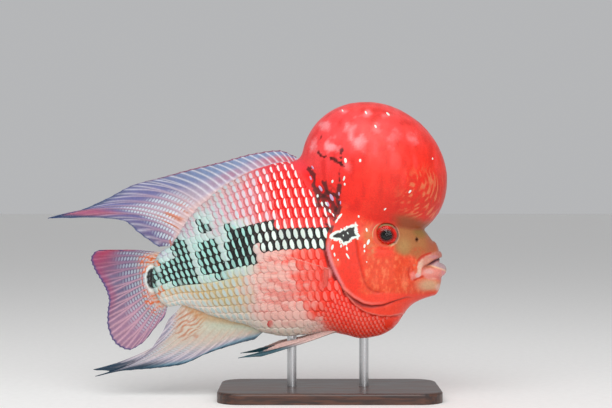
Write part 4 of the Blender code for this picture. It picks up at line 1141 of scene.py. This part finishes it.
# Fins. Each row is a key ray: its place along the fin from 0 to 1, its root, its tip and how far it bows.
DORSAL_RAYS = np.array((
    (0, 40.5, 37.2, 180, 0), (0.10, 32, 23.6, 185, 0.06), (0.22, 17.6, 4.5, 182.4, 0.07),
    (0.36, -1.1, -18.4, 176.3, 0.07), (0.50, -18.4, -42.4, 170.5, 0.08), (0.60, -29.8, -64.9, 164.2, 0.10),
    (0.67, -36.2, -85.1, 158.8, 0.11), (0.73, -40.8, -105.4, 148.4, 0.12),
    (0.78, -44.2, -127.9, 138.8, 0.12), (0.83, -47, -149.9, 133.6, 0.12),
    (0.88, -49.4, -116.6, 134.3, 0.12), (0.92, -51.4, -93.4, 132.1, 0.11),
    (0.96, -53.7, -81.4, 122.8, 0.10), (1, -56.2, -66.4, 112.2, 0.05),
), float)
ANAL_RAYS = np.array((
    (0, 13.2, 6, 43.2, 0), (0.10, 5.8, -10.4, 38.8, 0.05), (0.22, -3.4, -30.4, 32.2, 0.08),
    (0.34, -11.6, -49.9, 23.8, 0.09), (0.45, -19.1, -72.4, 20.8, 0.09), (0.54, -25.9, -93.4, 19.1, 0.10),
    (0.60, -30.4, -114.4, 14.8, 0.10), (0.65, -33.4, -103, 18.8, 0.10), (0.70, -35.6, -115.9, 19.9, 0.10),
    (0.76, -38.6, -94.9, 22, 0.10), (0.82, -41.6, -82.1, 27.8, 0.10), (0.88, -43.8, -72.4, 35.4, 0.09),
    (0.94, -46, -64.9, 45.5, 0.08), (1, -48, -58.2, 58.3, 0.04),
), float)
CAUDAL_RAYS = np.array((
    (0, 62, -94, 109.6, 0.03), (0.08, 52, -111.4, 109.6, 0.04), (0.16, 41, -117.4, 103.2, 0.05),
    (0.24, 28, -114.4, 95, 0.04), (0.32, 16, -109.2, 86.8, 0.03), (0.40, 5, -105, 79.2, 0.02),
    (0.47, -5, -103.1, 71.8, 0), (0.54, -15, -104.2, 64.2, -0.02), (0.61, -25, -104.6, 55.2, -0.03),
    (0.68, -35, -102.4, 45.5, -0.04), (0.75, -46, -97.1, 38, -0.05), (0.82, -57, -88.9, 34.6, -0.05),
    (0.89, -67, -79, 39.5, -0.05), (0.95, -75, -68.8, 51.5, -0.04), (1, -82, -61.8, 59.4, -0.02),
), float)
# The tips of the paired fins stand off the middle plane, so theirs have X, Y and Z.
PECTORAL_RAYS = np.array((
    (0, 60.8, 97.5, 22.1, 39.5, 110), (0.12, 61, 95.6, 13, 40.8, 106.2), (0.28, 61, 93.4, 7.1, 42, 98.8),
    (0.45, 60.9, 91.1, 5.4, 42.4, 88.4), (0.62, 60.7, 89, 7, 42, 77.8),
    (0.80, 60.4, 86.9, 12.2, 40.6, 68.8), (1, 60, 84.8, 26.2, 38.4, 61),
), float)
PELVIC_RAYS = np.array((
    (0, 11.6, 16.5, 32), (0.2, -5.6, 17.2, 30.7), (0.4, 10.8, 16, 35.2), (0.6, 18.6, 14.2, 38.4),
    (0.8, 24, 12, 40.8), (1, 30, 9.6, 42.4),
), float)
PELVIC_ROOT_FRONT, PELVIC_ROOT_BACK = np.array((67.8, 8.0)), np.array((59.8, 5.0))
# How deep a fin's root sits in the skin, and for the paired fins the CAD's gap and the thickness of a ray.
ROOT_SINK = 1.6
GAP, ROOT_RAY = 0.3, 1.9
# Thickness of the membrane at the root and the margin, then of a ray at the root and the margin.
THICK_FIN, SLIM_FIN = (0.7, 0.35, 1.5, 0.6), (0.45, 0.3, 0.9, 0.45)


def outline_root(x, upper):
    """A fin's root at x, sunk a little into the back (upper) or the belly."""
    edge = 0 if upper else 1
    slope = section(x + 0.5)[edge] - section(x - 0.5)[edge]
    normal = np.stack([-slope, np.ones(len(x))], 1) * (1 if upper else -1)
    return np.stack([x, section(x)[edge]], 1) - normal / np.linalg.norm(normal, axis=1)[:, None] * ROOT_SINK


def tail_end_root(degrees):
    """The tail fin's root, at an angle up or down round the rounded end of the body."""
    back, belly, _, widest, _, _ = section(np.full(len(degrees), TAIL_END))
    angle = np.radians(degrees)
    reach = np.where(degrees > 0, back - widest, widest - belly) - ROOT_SINK
    x = TAIL_END - (TAIL_ROOT_DEPTH - ROOT_SINK) * np.cos(angle)
    return np.stack([x, widest + reach * np.sin(angle)], 1)


def middle_place(table, root_of, bow_side, wave):
    """Places of a fin that stands in the middle plane and waves sideways towards its margin."""
    size, waves, phase = wave

    def place(u, t):
        root, tip_x, tip_z, bow = along(table, u).T
        start = root_of(root)
        chord = np.stack([tip_x, tip_z], 1) - start
        side = np.stack([-chord[:, 1], chord[:, 0]], 1)
        bend = (bow * bow_side * 4 * t * (1 - t) * (1 - 0.25 * t))[:, None]
        flat = start + chord * t[:, None] + side * bend
        sway = size * t * t * np.sin(2 * math.pi * waves * u + phase)
        return np.stack([flat[:, 0], sway, flat[:, 1]], 1)

    return place


def pectoral_place(side):
    """Places of a pectoral fin, which fans out backwards from the flank."""

    def place(u, t):
        root_x, root_z, tip_x, tip_y, tip_z = along(PECTORAL_RAYS, u).T
        root_y = flank(root_x, root_z) + GAP + ROOT_RAY / 2 - 0.6
        y = root_y + (tip_y - root_y) * (1.15 * t - 0.15 * t * t)
        return np.stack([root_x + (tip_x - root_x) * t, side * y, root_z + (tip_z - root_z) * t], 1)

    return place


def pelvic_place(side):
    """Places of a pelvic fin, folded back along the belly."""

    def place(u, t):
        tip_x, tip_y, tip_z = along(PELVIC_RAYS, u).T
        root = PELVIC_ROOT_FRONT + (PELVIC_ROOT_BACK - PELVIC_ROOT_FRONT) * u[:, None]
        _, belly, width, widest, _, keel = section(root[:, 0])
        share = np.clip(1 - ((root[:, 1] + ROOT_RAY / 2) / width) ** keel, 0, 1) ** (1 / keel)
        root_z = widest - (widest - belly) * share + 0.2
        x = root[:, 0] + (tip_x - root[:, 0]) * t
        y = root[:, 1] + (tip_y - root[:, 1]) * t
        z = root_z + (tip_z - root_z) * t - 0.9 * np.sin(math.pi * t)
        return np.stack([x, side * y, z], 1)

    return place


def ray_form(u, t, count, soft_from):
    """How much of a ray there is at each place of a fin. Soft rays branch in two towards the margin."""
    phase = np.abs((u * count) % 1 - 0.5)
    soft = smooth(soft_from - 0.02, soft_from + 0.02, u)
    split = 0.25 * smooth(0.35, 0.95, t) * soft
    width = 0.15 - 0.05 * soft * t
    ray = np.exp(-(((phase - split) / width) ** 2))
    return np.maximum(ray, smooth(0.35, 0.1, u * count))


def make_fin(name, count, rows, place, soft_from, heights, coat_of, dots, finish):
    """A sheet with raised, branching rays and a fine ragged margin.

    Count is its number of rays, rows its rows of faces from root to margin, and soft_from the place along
    it where the soft rays start.
    """
    bpy.ops.mesh.primitive_grid_add(x_subdivisions=count * 8, y_subdivisions=rows, size=1.0)
    sheet = bpy.context.object
    unit = points_of(sheet) * MM + 0.5
    u, t = unit[:, 0], unit[:, 1]
    ray = ray_form(u, t, count, soft_from)
    length = np.linalg.norm(place(u, np.ones(len(u))) - place(u, np.zeros(len(u))), axis=1)
    notch = 0.6 * (1 - ray) * smooth(0.5, 1.0, t) / np.maximum(length, 8)
    p = place(u, t * (1 - notch))
    ripple = 0.28 * np.sin(math.tau * u * count + 5 * t) * smooth(0.2, 0.9, t)
    p[:, 1] += ripple
    set_points(sheet, p)
    root_film, edge_film, root_ray, edge_ray = heights
    film = root_film + (edge_film - root_film) * t
    thick = film + (root_ray + (edge_ray - root_ray) * t - film) * ray
    thick = thick + 1.2 * smooth(0.09, 0.0, t) * (1 if root_ray > 1 else 0.3)
    coat, clear = coat_of(u, t, ray, p, length * (1 - t))
    store(sheet, "coat", coat, "FLOAT_COLOR")
    store(sheet, "clear", clear)
    store(sheet, "dots", dots(u, t) * (0.75 - 0.4 * ray))
    store(sheet, "ray_count", u * count)
    store(sheet, "ray_length", length * t)
    weights = sheet.vertex_groups.new(name="thickness")
    top = thick.max()
    for k, value in enumerate(thick / top):
        weights.add([k], float(value), "REPLACE")
    modify(sheet, "SOLIDIFY", thickness=float(top) * MM, offset=0.0, use_rim=True, vertex_group="thickness")
    return finish_piece(sheet, name, finish, (name,))


# Colour and closeness of each fin. U runs along the fin, T from its root to its margin, and rest is the
# distance left to the margin.

def dorsal_coat(u, t, ray, p, rest):
    film = painted(plain("6E84AC", u), (
        ("B4A8BE", smooth(0.62, 0.2, t) * smooth(0.85, 0.6, u) * 0.85),
        ("66649A", smooth(0.45, 0.75, u)),
        ("CDB6BA", smooth(0.62, 0.18, t) * smooth(0.45, 0.7, u) * 0.75),
        ("CC2C40", smooth(0.10, 0.2, t) * smooth(0.72, 0.35, t) * smooth(0.36, 0.12, u) * 0.8),
        ("B0587A", (
            smooth(0.10, 0.2, t) * smooth(0.5, 0.3, t) * smooth(0.62, 0.36, u) * smooth(0.3, 0.42, u)
            * 0.6
        )),
        ("64507E", smooth(0.86, 0.98, u) * 0.6),
    ))
    rays = tint(plain("D8D8E0", u), "B48C98", smooth(0.55, 0.75, u) * smooth(1.0, 0.4, t))
    coat = film + (rays - film) * (ray * (0.85 - 0.25 * smooth(0.6, 0.8, u)))[:, None]
    streaks = noise(np.stack([u * 60, t * 5], 1), 1.0, 63)
    orange = smooth(0.02, 0.07, t) * smooth(0.26, 0.16, t)
    orange = orange * smooth(0.62, 0.78, u) * smooth(0.45, 0.6, streaks)
    coat = painted(coat, (
        ("D2B6B4", smooth(0.16, 0.03, t) * 0.9),
        ("C0683A", orange * 0.8),
        ("BC4864", smooth(0.045, 0.012, np.abs(u - 0.85)) * smooth(0.5, 0.75, t) * 0.7),
        ("84204C", smooth(2.0, 0.8, rest) * smooth(0.8, 0.5, u) * 0.9),
        ("22406C", smooth(0.84, 0.96, t) * smooth(0.66, 0.78, u) * smooth(0.92, 0.86, u)),
        ("3C4C80", smooth(2.4, 0.8, rest) * smooth(0.55, 0.75, u) * 0.8),
    ))
    return coat, 0.80 + 0.18 * ray + 0.3 * smooth(0.25, 0.05, t) - 0.10 * smooth(0.5, 1, t)


def caudal_coat(u, t, ray, p, rest):
    film = painted(plain("5E5074", u), (
        ("99728E", smooth(0.45, 0.7, u)),
        ("7A7684", smooth(0.5, 0.2, t)),
    ))
    rays = tint(plain("D0A2B0", u), "98748C", smooth(0.5, 0.2, u))
    coat = film + (rays - film) * (ray * 0.8)[:, None]
    spot = np.hypot((p[:, 0] - TAIL_SPOT[0]) / 0.8, p[:, 2] - TAIL_SPOT[1])
    warp = noise(np.stack([p[:, 0], p[:, 2]], 1), 3.0, 61)
    lines = smooth(0.1, 0.6, np.sin(math.tau * (spot / 3.4 + 1.4 * warp)))
    off = mark_distance(p[:, [0, 2]], np.zeros(len(p), bool))
    coat = painted(coat, (
        ("B0284A", smooth(0.36, 0.06, u) * smooth(0.50, 0.88, t) * 0.9),
        ("984068", smooth(0.66, 0.4, u) * smooth(9.0, 2.0, rest) * 0.75),
        ("343E7A", smooth(2.2, 0.8, rest) * 0.8),
        ("CDB29E", smooth(0.24, 0.06, t) * 0.8),
        ("CC5C18", lines * smooth(0.34, 0.20, t) * smooth(0.04, 0.16, u) * smooth(0.98, 0.80, u)),
        ("DCE6E0", 0.85 * smooth(2.6, 1.2, off + 1.6 * (warp - 0.5))),
    ))
    return tint(coat, "121110", smooth(0.5, -0.5, off)), 0.88 + 0.10 * ray + 0.2 * smooth(0.3, 0.1, t)


def anal_coat(u, t, ray, p, rest):
    film = tint(plain("9A94A8", u), "CBBFB0", smooth(0.75, 0.3, t))
    rays = tint(plain("D2C6CA", u), "C8A692", smooth(0.7, 0.2, t))
    coat = film + (rays - film) * (ray * 0.85)[:, None]
    warp = noise(np.stack([p[:, 0], p[:, 2]], 1), 4.5, 62)
    maze = np.sin(math.tau * ((0.5 * p[:, 0] - 0.86 * p[:, 2]) / 3.0 + 2.0 * warp))
    spot = np.hypot((p[:, 0] + 44) / 12, (p[:, 2] - 56) / 13) + 0.5 * (warp - 0.5)
    front = smooth(0.66, 0.50, u)
    coat = painted(coat, (
        ("B8BEA8", smooth(0.34, 0.06, t) * smooth(0.75, 0.4, u)),
        ("B8663A", 0.75 * smooth(-0.3, 0.9, maze) * smooth(1.25, 0.6, spot) * smooth(0.3, 0.5, u)),
        ("C08C50", smooth(0.12, 0.04, t) * 0.6),
        ("3C7E92", smooth(15, 4, rest) * front * 0.8),
        ("123C52", smooth(6.5, 2.0, rest) * front),
    ))
    tip = smooth(0.64, 0.90, t) * smooth(0.40, 0.52, u) * smooth(0.84, 0.72, u)
    return tint(coat, "12344A", tip), 0.86 + 0.12 * ray + 0.2 * smooth(0.3, 0.1, t)


def pelvic_coat(u, t, ray, p, rest):
    coat = painted(plain("CDA69E", u), (
        ("E2C4BC", ray * 0.7),
        ("E0BFB6", smooth(0.3, 0.05, t)),
        ("134A58", (
            smooth(0.40, 0.18, u) * smooth(0.28, 0.7, t) + smooth(0.8, 0.95, t) * smooth(0.55, 0.35, u)
        )),
    ))
    return coat, 0.88 + 0.10 * ray


def pectoral_coat(u, t, ray, p, rest):
    coat = painted(plain("E8A094", u), (
        ("E8584A", ray * 0.6 * smooth(1.0, 0.3, t)),
        ("EE5240", smooth(0.25, 0.06, t) * 0.8),
        ("F2B4A8", smooth(0.04, 0.0, u) * 0.8),
    ))
    return coat, 0.03 + 0.10 * ray + 0.6 * smooth(0.10, 0.02, t) + 0.25 * smooth(0.03, 0.0, u)


# How plain the pale spots are at each place of a fin.

def dorsal_dots(u, t):
    return smooth(0.62, 0.72, u) * smooth(0.05, 0.15, t) * smooth(0.75 - 0.2 * (u < 0.9), 0.4, t)


def anal_dots(u, t):
    return smooth(0.3, 0.5, u) * smooth(0.35, 0.5, t) * smooth(0.85, 0.6, t) * 0.5


def tail_dots(u, t):
    return smooth(0.05, 0.2, t) * smooth(0.72, 0.45, t) * 0.55


def no_dots(u, t):
    return u * 0


def make_fins():
    """The seven fins, each in place of its CAD node."""
    film = fin_material("fin membrane")
    clear = fin_material("clear fin membrane")
    back = middle_place(DORSAL_RAYS, lambda x: outline_root(x, True), -1, (2.4, 1.3, 0.4))
    under = middle_place(ANAL_RAYS, lambda x: outline_root(x, False), 1, (-2.2, 1.0, 0.9))
    tail = middle_place(CAUDAL_RAYS, tail_end_root, -1, (3.0, 1.5, 0.2))
    make_fin("dorsal_fin", 27, 56, back, 0.60, THICK_FIN, dorsal_coat, dorsal_dots, film)
    make_fin("anal_fin", 15, 60, under, 0.12, THICK_FIN, anal_coat, anal_dots, film)
    make_fin("tail_fin", 16, 48, tail, 0.02, THICK_FIN, caudal_coat, tail_dots, film)
    for label, side in (("right", -1), ("left", 1)):
        make_fin(
            "pectoral_fin_" + label, 13, 40, pectoral_place(side), 0.05, SLIM_FIN, pectoral_coat, no_dots,
            clear,
        )
        make_fin(
            "pelvic_fin_" + label, 6, 40, pelvic_place(side), 0.2, THICK_FIN, pelvic_coat, no_dots, film,
        )


def make_eye(label, side):
    """An eyeball with a red iris and a sunk pupil, under a clear cornea."""
    centre = EYE_CENTRES[0 if side < 0 else 1]
    bpy.ops.mesh.primitive_uv_sphere_add(segments=64, ring_count=48, radius=1.0)
    ball = bpy.context.object
    unit = points_of(ball) * MM
    wide = np.hypot(unit[:, 0], unit[:, 1])
    radius = wide * (EYE_RADIUS - 0.4)
    high = unit[:, 2]
    iris = (0.47 - 0.12 * smooth(4.7, 4.1, radius)) * np.maximum(1 - wide**6, 0) ** (1 / 6)
    high = np.where(high > 0, iris, high)
    turn = np.arctan2(unit[:, 1], unit[:, 0])
    forward = 0.3 * smooth(8.4, 5.5, radius)
    p = centre + np.stack([
        radius * np.cos(turn) + forward, side * high * (EYE_HALF_DEPTH - 0.15), radius * np.sin(turn),
    ], 1)
    set_points(ball, p)
    dx, dz = p[:, 0] - centre[0], p[:, 2] - centre[2]
    rim, pupil = np.hypot(dx / 7.4, dz / 6.7), np.hypot((dx - 0.2) / 3.9, (dz + 0.1) / 3.4)
    streak = noise(np.stack([turn * 9, radius * 0.5], 1), 1.0, 71)
    coat = painted(plain("FF2410", p), (
        ("A80C06", 0.5 * smooth(0.45, 0.7, streak)),
        ("5A0806", 0.85 * smooth(1.6, 1.05, pupil)),
        ("B4442A", smooth(1.0, 1.06, rim)),
        ("C8A878", smooth(1.0, 1.08, rim) * smooth(0.0, 0.5, np.sin(turn))),
        ("C49080", smooth(1.0, 1.08, rim) * smooth(0.4, 0.8, np.cos(turn))),
        ("050404", smooth(1.08, 0.92, pupil) * (unit[:, 2] > 0)),
    ))
    store(ball, "coat", coat, "FLOAT_COLOR")
    if side > 0:
        ball.data.flip_normals()
    finish_piece(ball, "eyeball_" + label, IRIS, ("eye_" + label,))
    bpy.ops.mesh.primitive_uv_sphere_add(segments=48, ring_count=32, radius=1.0)
    dome = bpy.context.object
    unit = points_of(dome) * MM
    set_points(dome, centre + np.stack([
        unit[:, 0] * EYE_RADIUS, side * unit[:, 2] * EYE_HALF_DEPTH, unit[:, 1] * EYE_RADIUS,
    ], 1))
    if side > 0:
        dome.data.flip_normals()
    finish_piece(dome, "cornea_" + label, CORNEA, ())


# Materials. A pattern's size is a real one in mm. Pores, fibres and brush lines are finer in life, and are
# drawn just coarse enough to show.
# Most values of a grain lie between these two.
MIDDLING = (0.3, 0.7)
# Where a fleck sits on its scale, from front to rear, and how much of the scale's half height it takes.
FLECK_SEAT, FLECK_HALF_HEIGHT = 0.55, 0.88
# A fin's pale spots: their pitch along a ray in mm, and their half sizes across and along it, as shares of
# the way between two rays and of the pitch.
FIN_SPOT_PITCH, FIN_SPOT_HALF = 2.3, (0.30, 0.34)


def add(tree, kind, links, output=0, **settings):
    """Adds a node, sets it, gives its inputs a value or another node's output, and hands back one output."""
    made = tree.nodes.new(kind)
    for name, value in settings.items():
        setattr(made, name, value)
    for name, value in links.items():
        if isinstance(value, bpy.types.NodeSocket):
            tree.links.new(value, made.inputs[name])
        else:
            made.inputs[name].default_value = value
    return made.outputs[output]


def material(name, **values):
    """A new material with its shader's plain inputs set."""
    made = bpy.data.materials.new(name)
    made.use_nodes = True
    shader = made.node_tree.nodes["Principled BSDF"]
    for key, value in values.items():
        shader.inputs[key.replace("_", " ")].default_value = value
    return made, made.node_tree


def finish_with(tree, **outputs):
    """Joins the ends of a material's patterns to its shader."""
    for key, output in outputs.items():
        tree.links.new(output, tree.nodes["Principled BSDF"].inputs[key.replace("_", " ")])


def opaque(code):
    """A colour for a node's own socket."""
    return (*seen(code), 1.0)


def grained(tree, size, detail, ends=(0, 1), spread=(0, 1), stretch=(1, 1, 1), distortion=0.0, soft=False):
    """A value that wanders between two ends, in grains of a size in mm, longer where stretch is small."""
    place = add(tree, "ShaderNodeTexCoord", {}, "Object")
    place = add(tree, "ShaderNodeMapping", {"Vector": place, "Scale": stretch})
    grain = add(tree, "ShaderNodeTexNoise", {
        "Vector": place, "Scale": 1 / (size * MM), "Detail": detail, "Distortion": distortion,
    })
    return add(tree, "ShaderNodeMapRange", {
        "Value": grain, "From Min": spread[0], "From Max": spread[1], "To Min": ends[0], "To Max": ends[1],
    }, interpolation_type="SMOOTHSTEP" if soft else "LINEAR")


def painted_coat(tree, grain, ends):
    """The coat that the piece carries, a little lighter and darker from grain to grain."""
    coat = add(tree, "ShaderNodeAttribute", {}, "Color", attribute_name="coat")
    value = grained(tree, *grain, ends, MIDDLING)
    return add(tree, "ShaderNodeHueSaturation", {"Color": coat, "Value": value})


def oval(tree, *halves):
    """Square of the distance from the middle of an oval, with 1 on its edge."""
    total = 0.0
    for distance, half in halves:
        share = add(tree, "ShaderNodeMath", {0: distance, 1: half}, operation="DIVIDE")
        total = add(tree, "ShaderNodeMath", {0: share, 1: share, 2: total}, operation="MULTIPLY_ADD")
    return total


def spot_over(tree, coat, reach, soft_edge, strength, code):
    """Lays a soft-edged spot over a coat, where reach is less than the edge."""
    links = {"Value": reach, "From Min": soft_edge[0], "From Max": soft_edge[1]}
    spot = add(tree, "ShaderNodeMapRange", links, interpolation_type="SMOOTHSTEP")
    spot = add(tree, "ShaderNodeMath", {0: spot, 1: strength}, operation="MULTIPLY")
    return add(tree, "ShaderNodeMix", {0: spot, 6: coat, 7: code}, 2, data_type="RGBA")


def wet_skin():
    """Live skin under a thin slime: the eye sees soft flesh that glows a little, with wet highlights."""
    made, tree = material(
        "wet skin", IOR=1.37, Subsurface_Weight=0.10, Subsurface_Scale=1.5 * MM,
        Subsurface_Radius=(1.0, 0.35, 0.25), Coat_Weight=0.08, Coat_Roughness=0.18,
    )
    pores = grained(tree, 0.8, 2)
    links = {"Height": pores, "Distance": 0.12 * MM, "Strength": 0.5}
    finish_with(
        tree, Base_Color=painted_coat(tree, (1.1, 3), (0.90, 1.08)),
        Roughness=grained(tree, 2.6, 2, (0.30, 0.44), (0.35, 0.65)),
        Normal=add(tree, "ShaderNodeBump", links),
    )
    return made


def own_values(tree, *names):
    """The numbers that a piece keeps at each of its points."""
    return [add(tree, "ShaderNodeAttribute", {}, "Fac", attribute_name=name) for name in names]


def pearly_scale():
    """Thin horny scales: the eye sees soft glints in rows, a pearly fleck on each, black in the marks."""
    made, tree = material(
        "pearly scale", IOR=1.4, Subsurface_Weight=0.06, Subsurface_Scale=1.0 * MM, Coat_Weight=0.08,
        Coat_Roughness=0.16,
    )
    plate = add(tree, "ShaderNodeUVMap", {}, uv_map="Plate")
    back = add(tree, "ShaderNodeSeparateXYZ", {"Vector": plate}, "X")
    up = back.node.outputs["Y"]
    across = add(tree, "ShaderNodeMath", {0: up, 1: 2.0, 2: -1.0}, operation="MULTIPLY_ADD")
    bowed = add(tree, "ShaderNodeMath", {0: across, 1: across}, operation="MULTIPLY")
    bend, wide, shown, black = own_values(tree, "fleck_bend", "fleck_wide", "fleck_shown", "black")
    middle = add(tree, "ShaderNodeMath", {0: bowed, 1: bend, 2: back}, operation="MULTIPLY_ADD")
    off = add(tree, "ShaderNodeMath", {0: middle, 1: FLECK_SEAT}, operation="SUBTRACT")
    reach = oval(tree, (off, wide), (across, FLECK_HALF_HEIGHT))
    ragged = grained(tree, 0.9, 1, (-0.35, 0.35))
    reach = add(tree, "ShaderNodeMath", {0: reach, 1: ragged}, operation="ADD")
    coat = add(tree, "ShaderNodeAttribute", {}, "Color", attribute_name="coat")
    links = {0: black, 6: coat, 7: opaque("12110F")}
    coat = add(tree, "ShaderNodeMix", links, 2, data_type="RGBA")
    pearl = add(tree, "ShaderNodeAttribute", {}, "Color", attribute_name="fleck")
    finish_with(
        tree, Base_Color=spot_over(tree, coat, reach, (1.2, 0.85), shown, pearl),
        Roughness=grained(tree, 1.4, 2, (0.26, 0.42), (0.35, 0.65)),
    )
    return made


def fin_material(name):
    """Membrane between rays: the eye sees wet film, see-through where it thins, with rows of pale spots."""
    made, tree = material(name, IOR=1.4, Roughness=0.34, Coat_Weight=0.25, Coat_Roughness=0.15)
    count, length, dots, clear = own_values(tree, "ray_count", "ray_length", "dots", "clear")
    across = add(tree, "ShaderNodeMath", {0: count, 1: 0.5}, operation="PINGPONG")
    along_ray = add(tree, "ShaderNodeMath", {0: length, 1: FIN_SPOT_PITCH}, operation="DIVIDE")
    along_ray = add(tree, "ShaderNodeMath", {0: along_ray}, operation="FRACT")
    along_ray = add(tree, "ShaderNodeMath", {0: along_ray, 1: 0.5}, operation="SUBTRACT")
    reach = oval(tree, (across, FIN_SPOT_HALF[0]), (along_ray, FIN_SPOT_HALF[1]))
    coat = painted_coat(tree, (1.6, 2), (0.90, 1.08))
    finish_with(
        tree, Base_Color=spot_over(tree, coat, reach, (1.3, 0.7), dots, opaque("D3E6EE")),
        Alpha=clear,
    )
    return made


def wet_iris():
    """Moist tissue deep in the eye: the eye sees fine red fibres with hardly a shine of their own."""
    made, tree = material("wet iris", IOR=1.38, Roughness=0.5, Specular_IOR_Level=0.05)
    finish_with(tree, Base_Color=painted_coat(tree, (0.35, 2), (0.85, 1.12)))
    return made


def clear_cornea():
    """Clear living lens, smooth and wet: the eye sees one sharp glint over the iris."""
    made, tree = material("clear cornea", Base_Color=(1, 1, 1, 1), IOR=1.376, Transmission_Weight=1.0)
    finish_with(tree, Roughness=grained(tree, 3.0, 1, (0.01, 0.03), MIDDLING))
    return made


def pale_paper():
    """Matt studio paper: the eye sees an even pale ground without a glare."""
    made, tree = material("matt pale paper", IOR=1.45, Specular_IOR_Level=0.2)
    links = {0: grained(tree, 6.0, 2, (0, 1), MIDDLING, soft=True), 6: opaque("F7F6F4"), 7: opaque("FAF9F7")}
    finish_with(
        tree, Base_Color=add(tree, "ShaderNodeMix", links, 2, data_type="RGBA"),
        Roughness=grained(tree, 6.0, 2, (0.85, 0.95), MIDDLING),
    )
    return made


def stained_wood():
    """Hardwood stained and oiled: the eye sees dark brown with long grain and a low shine."""
    made, tree = material("dark stained wood", IOR=1.5, Coat_Weight=0.3, Coat_Roughness=0.2)
    grain = {"size": 2.2, "detail": 5.0, "stretch": (0.09, 1.0, 1.0), "distortion": 0.6}
    streaks = grained(tree, ends=(0, 1), spread=(0.35, 0.68), soft=True, **grain)
    links = {0: streaks, 6: opaque("2A1712"), 7: opaque("54301F")}
    relief = {"Height": grained(tree, **grain), "Distance": 0.08 * MM, "Strength": 0.4}
    finish_with(
        tree, Base_Color=add(tree, "ShaderNodeMix", links, 2, data_type="RGBA"),
        Roughness=grained(tree, ends=(0.34, 0.52), spread=MIDDLING, **grain),
        Normal=add(tree, "ShaderNodeBump", relief),
    )
    return made


def brushed_steel():
    """Steel rod brushed round its girth: the eye sees a grey metal with a soft streaked shine."""
    made, tree = material("brushed steel", Base_Color=opaque("C3C4C6"), Metallic=1.0)
    finish_with(tree, Roughness=grained(tree, 0.25, 3.0, (0.24, 0.38), MIDDLING, stretch=(0.15, 0.15, 1.0)))
    return made


def dress_stand():
    """Gives the stand's CAD nodes their finishes."""
    wood, steel = stained_wood(), brushed_steel()
    for name, finish in (("stand_base", wood), ("stand_rod_1", steel), ("stand_rod_2", steel)):
        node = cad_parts[name]
        for slot in range(len(node.data.materials)):
            node.data.materials[slot] = finish


WET_SKIN, PEARLY_SCALE, IRIS, CORNEA = wet_skin(), pearly_scale(), wet_iris(), clear_cornea()

make_scales(make_skin())
make_fins()
for label, side in (("right", -1), ("left", 1)):
    make_eye(label, side)
dress_stand()

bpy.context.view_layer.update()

# The stage, in metres.
FLOOR_WIDTH = 40
LIGHTS_AIM = (0.04, 0, 0.12)


def lay_floor():
    """Pale studio floor, wide enough to reach the horizon."""
    bpy.ops.mesh.primitive_plane_add(size=FLOOR_WIDTH)
    floor = named(bpy.context.object, "floor")
    floor.data.materials.append(pale_paper())


def place_camera():
    """Camera at the photograph's angle, level and square to the right flank."""
    lens = bpy.data.cameras.new("camera")
    lens.lens, lens.sensor_width = 85, 36
    camera = bpy.data.objects.new("camera", lens)
    bpy.context.scene.collection.objects.link(camera)
    camera.location = CAMERA * MM
    camera.rotation_euler = (math.radians(90), 0, 0)
    bpy.context.scene.camera = camera


def area_light(name, at, size, power):
    """A soft square lamp, in metres and watts, that faces the fish."""
    light = bpy.data.lights.new(name, "AREA")
    light.size, light.energy = size, power
    item = bpy.data.objects.new(name, light)
    bpy.context.scene.collection.objects.link(item)
    item.location = at
    item.rotation_euler = (Vector(LIGHTS_AIM) - Vector(at)).to_track_quat("-Z", "Y").to_euler()


def light_studio():
    """Two soft lamps and a pale surround."""
    area_light("key", (-0.15, -0.75, 1.05), 1.1, 8.5)
    area_light("fill", (0.45, -1.3, 0.62), 1.15, 7.2)
    world = bpy.data.worlds.new("world")
    bpy.context.scene.world = world
    world.use_nodes = True
    world.node_tree.nodes["Background"].inputs[0].default_value = (0.93, 0.94, 0.96, 1)
    world.node_tree.nodes["Background"].inputs[1].default_value = 0.5
    bpy.context.scene.view_settings.view_transform = "Standard"


lay_floor()
place_camera()
light_studio()
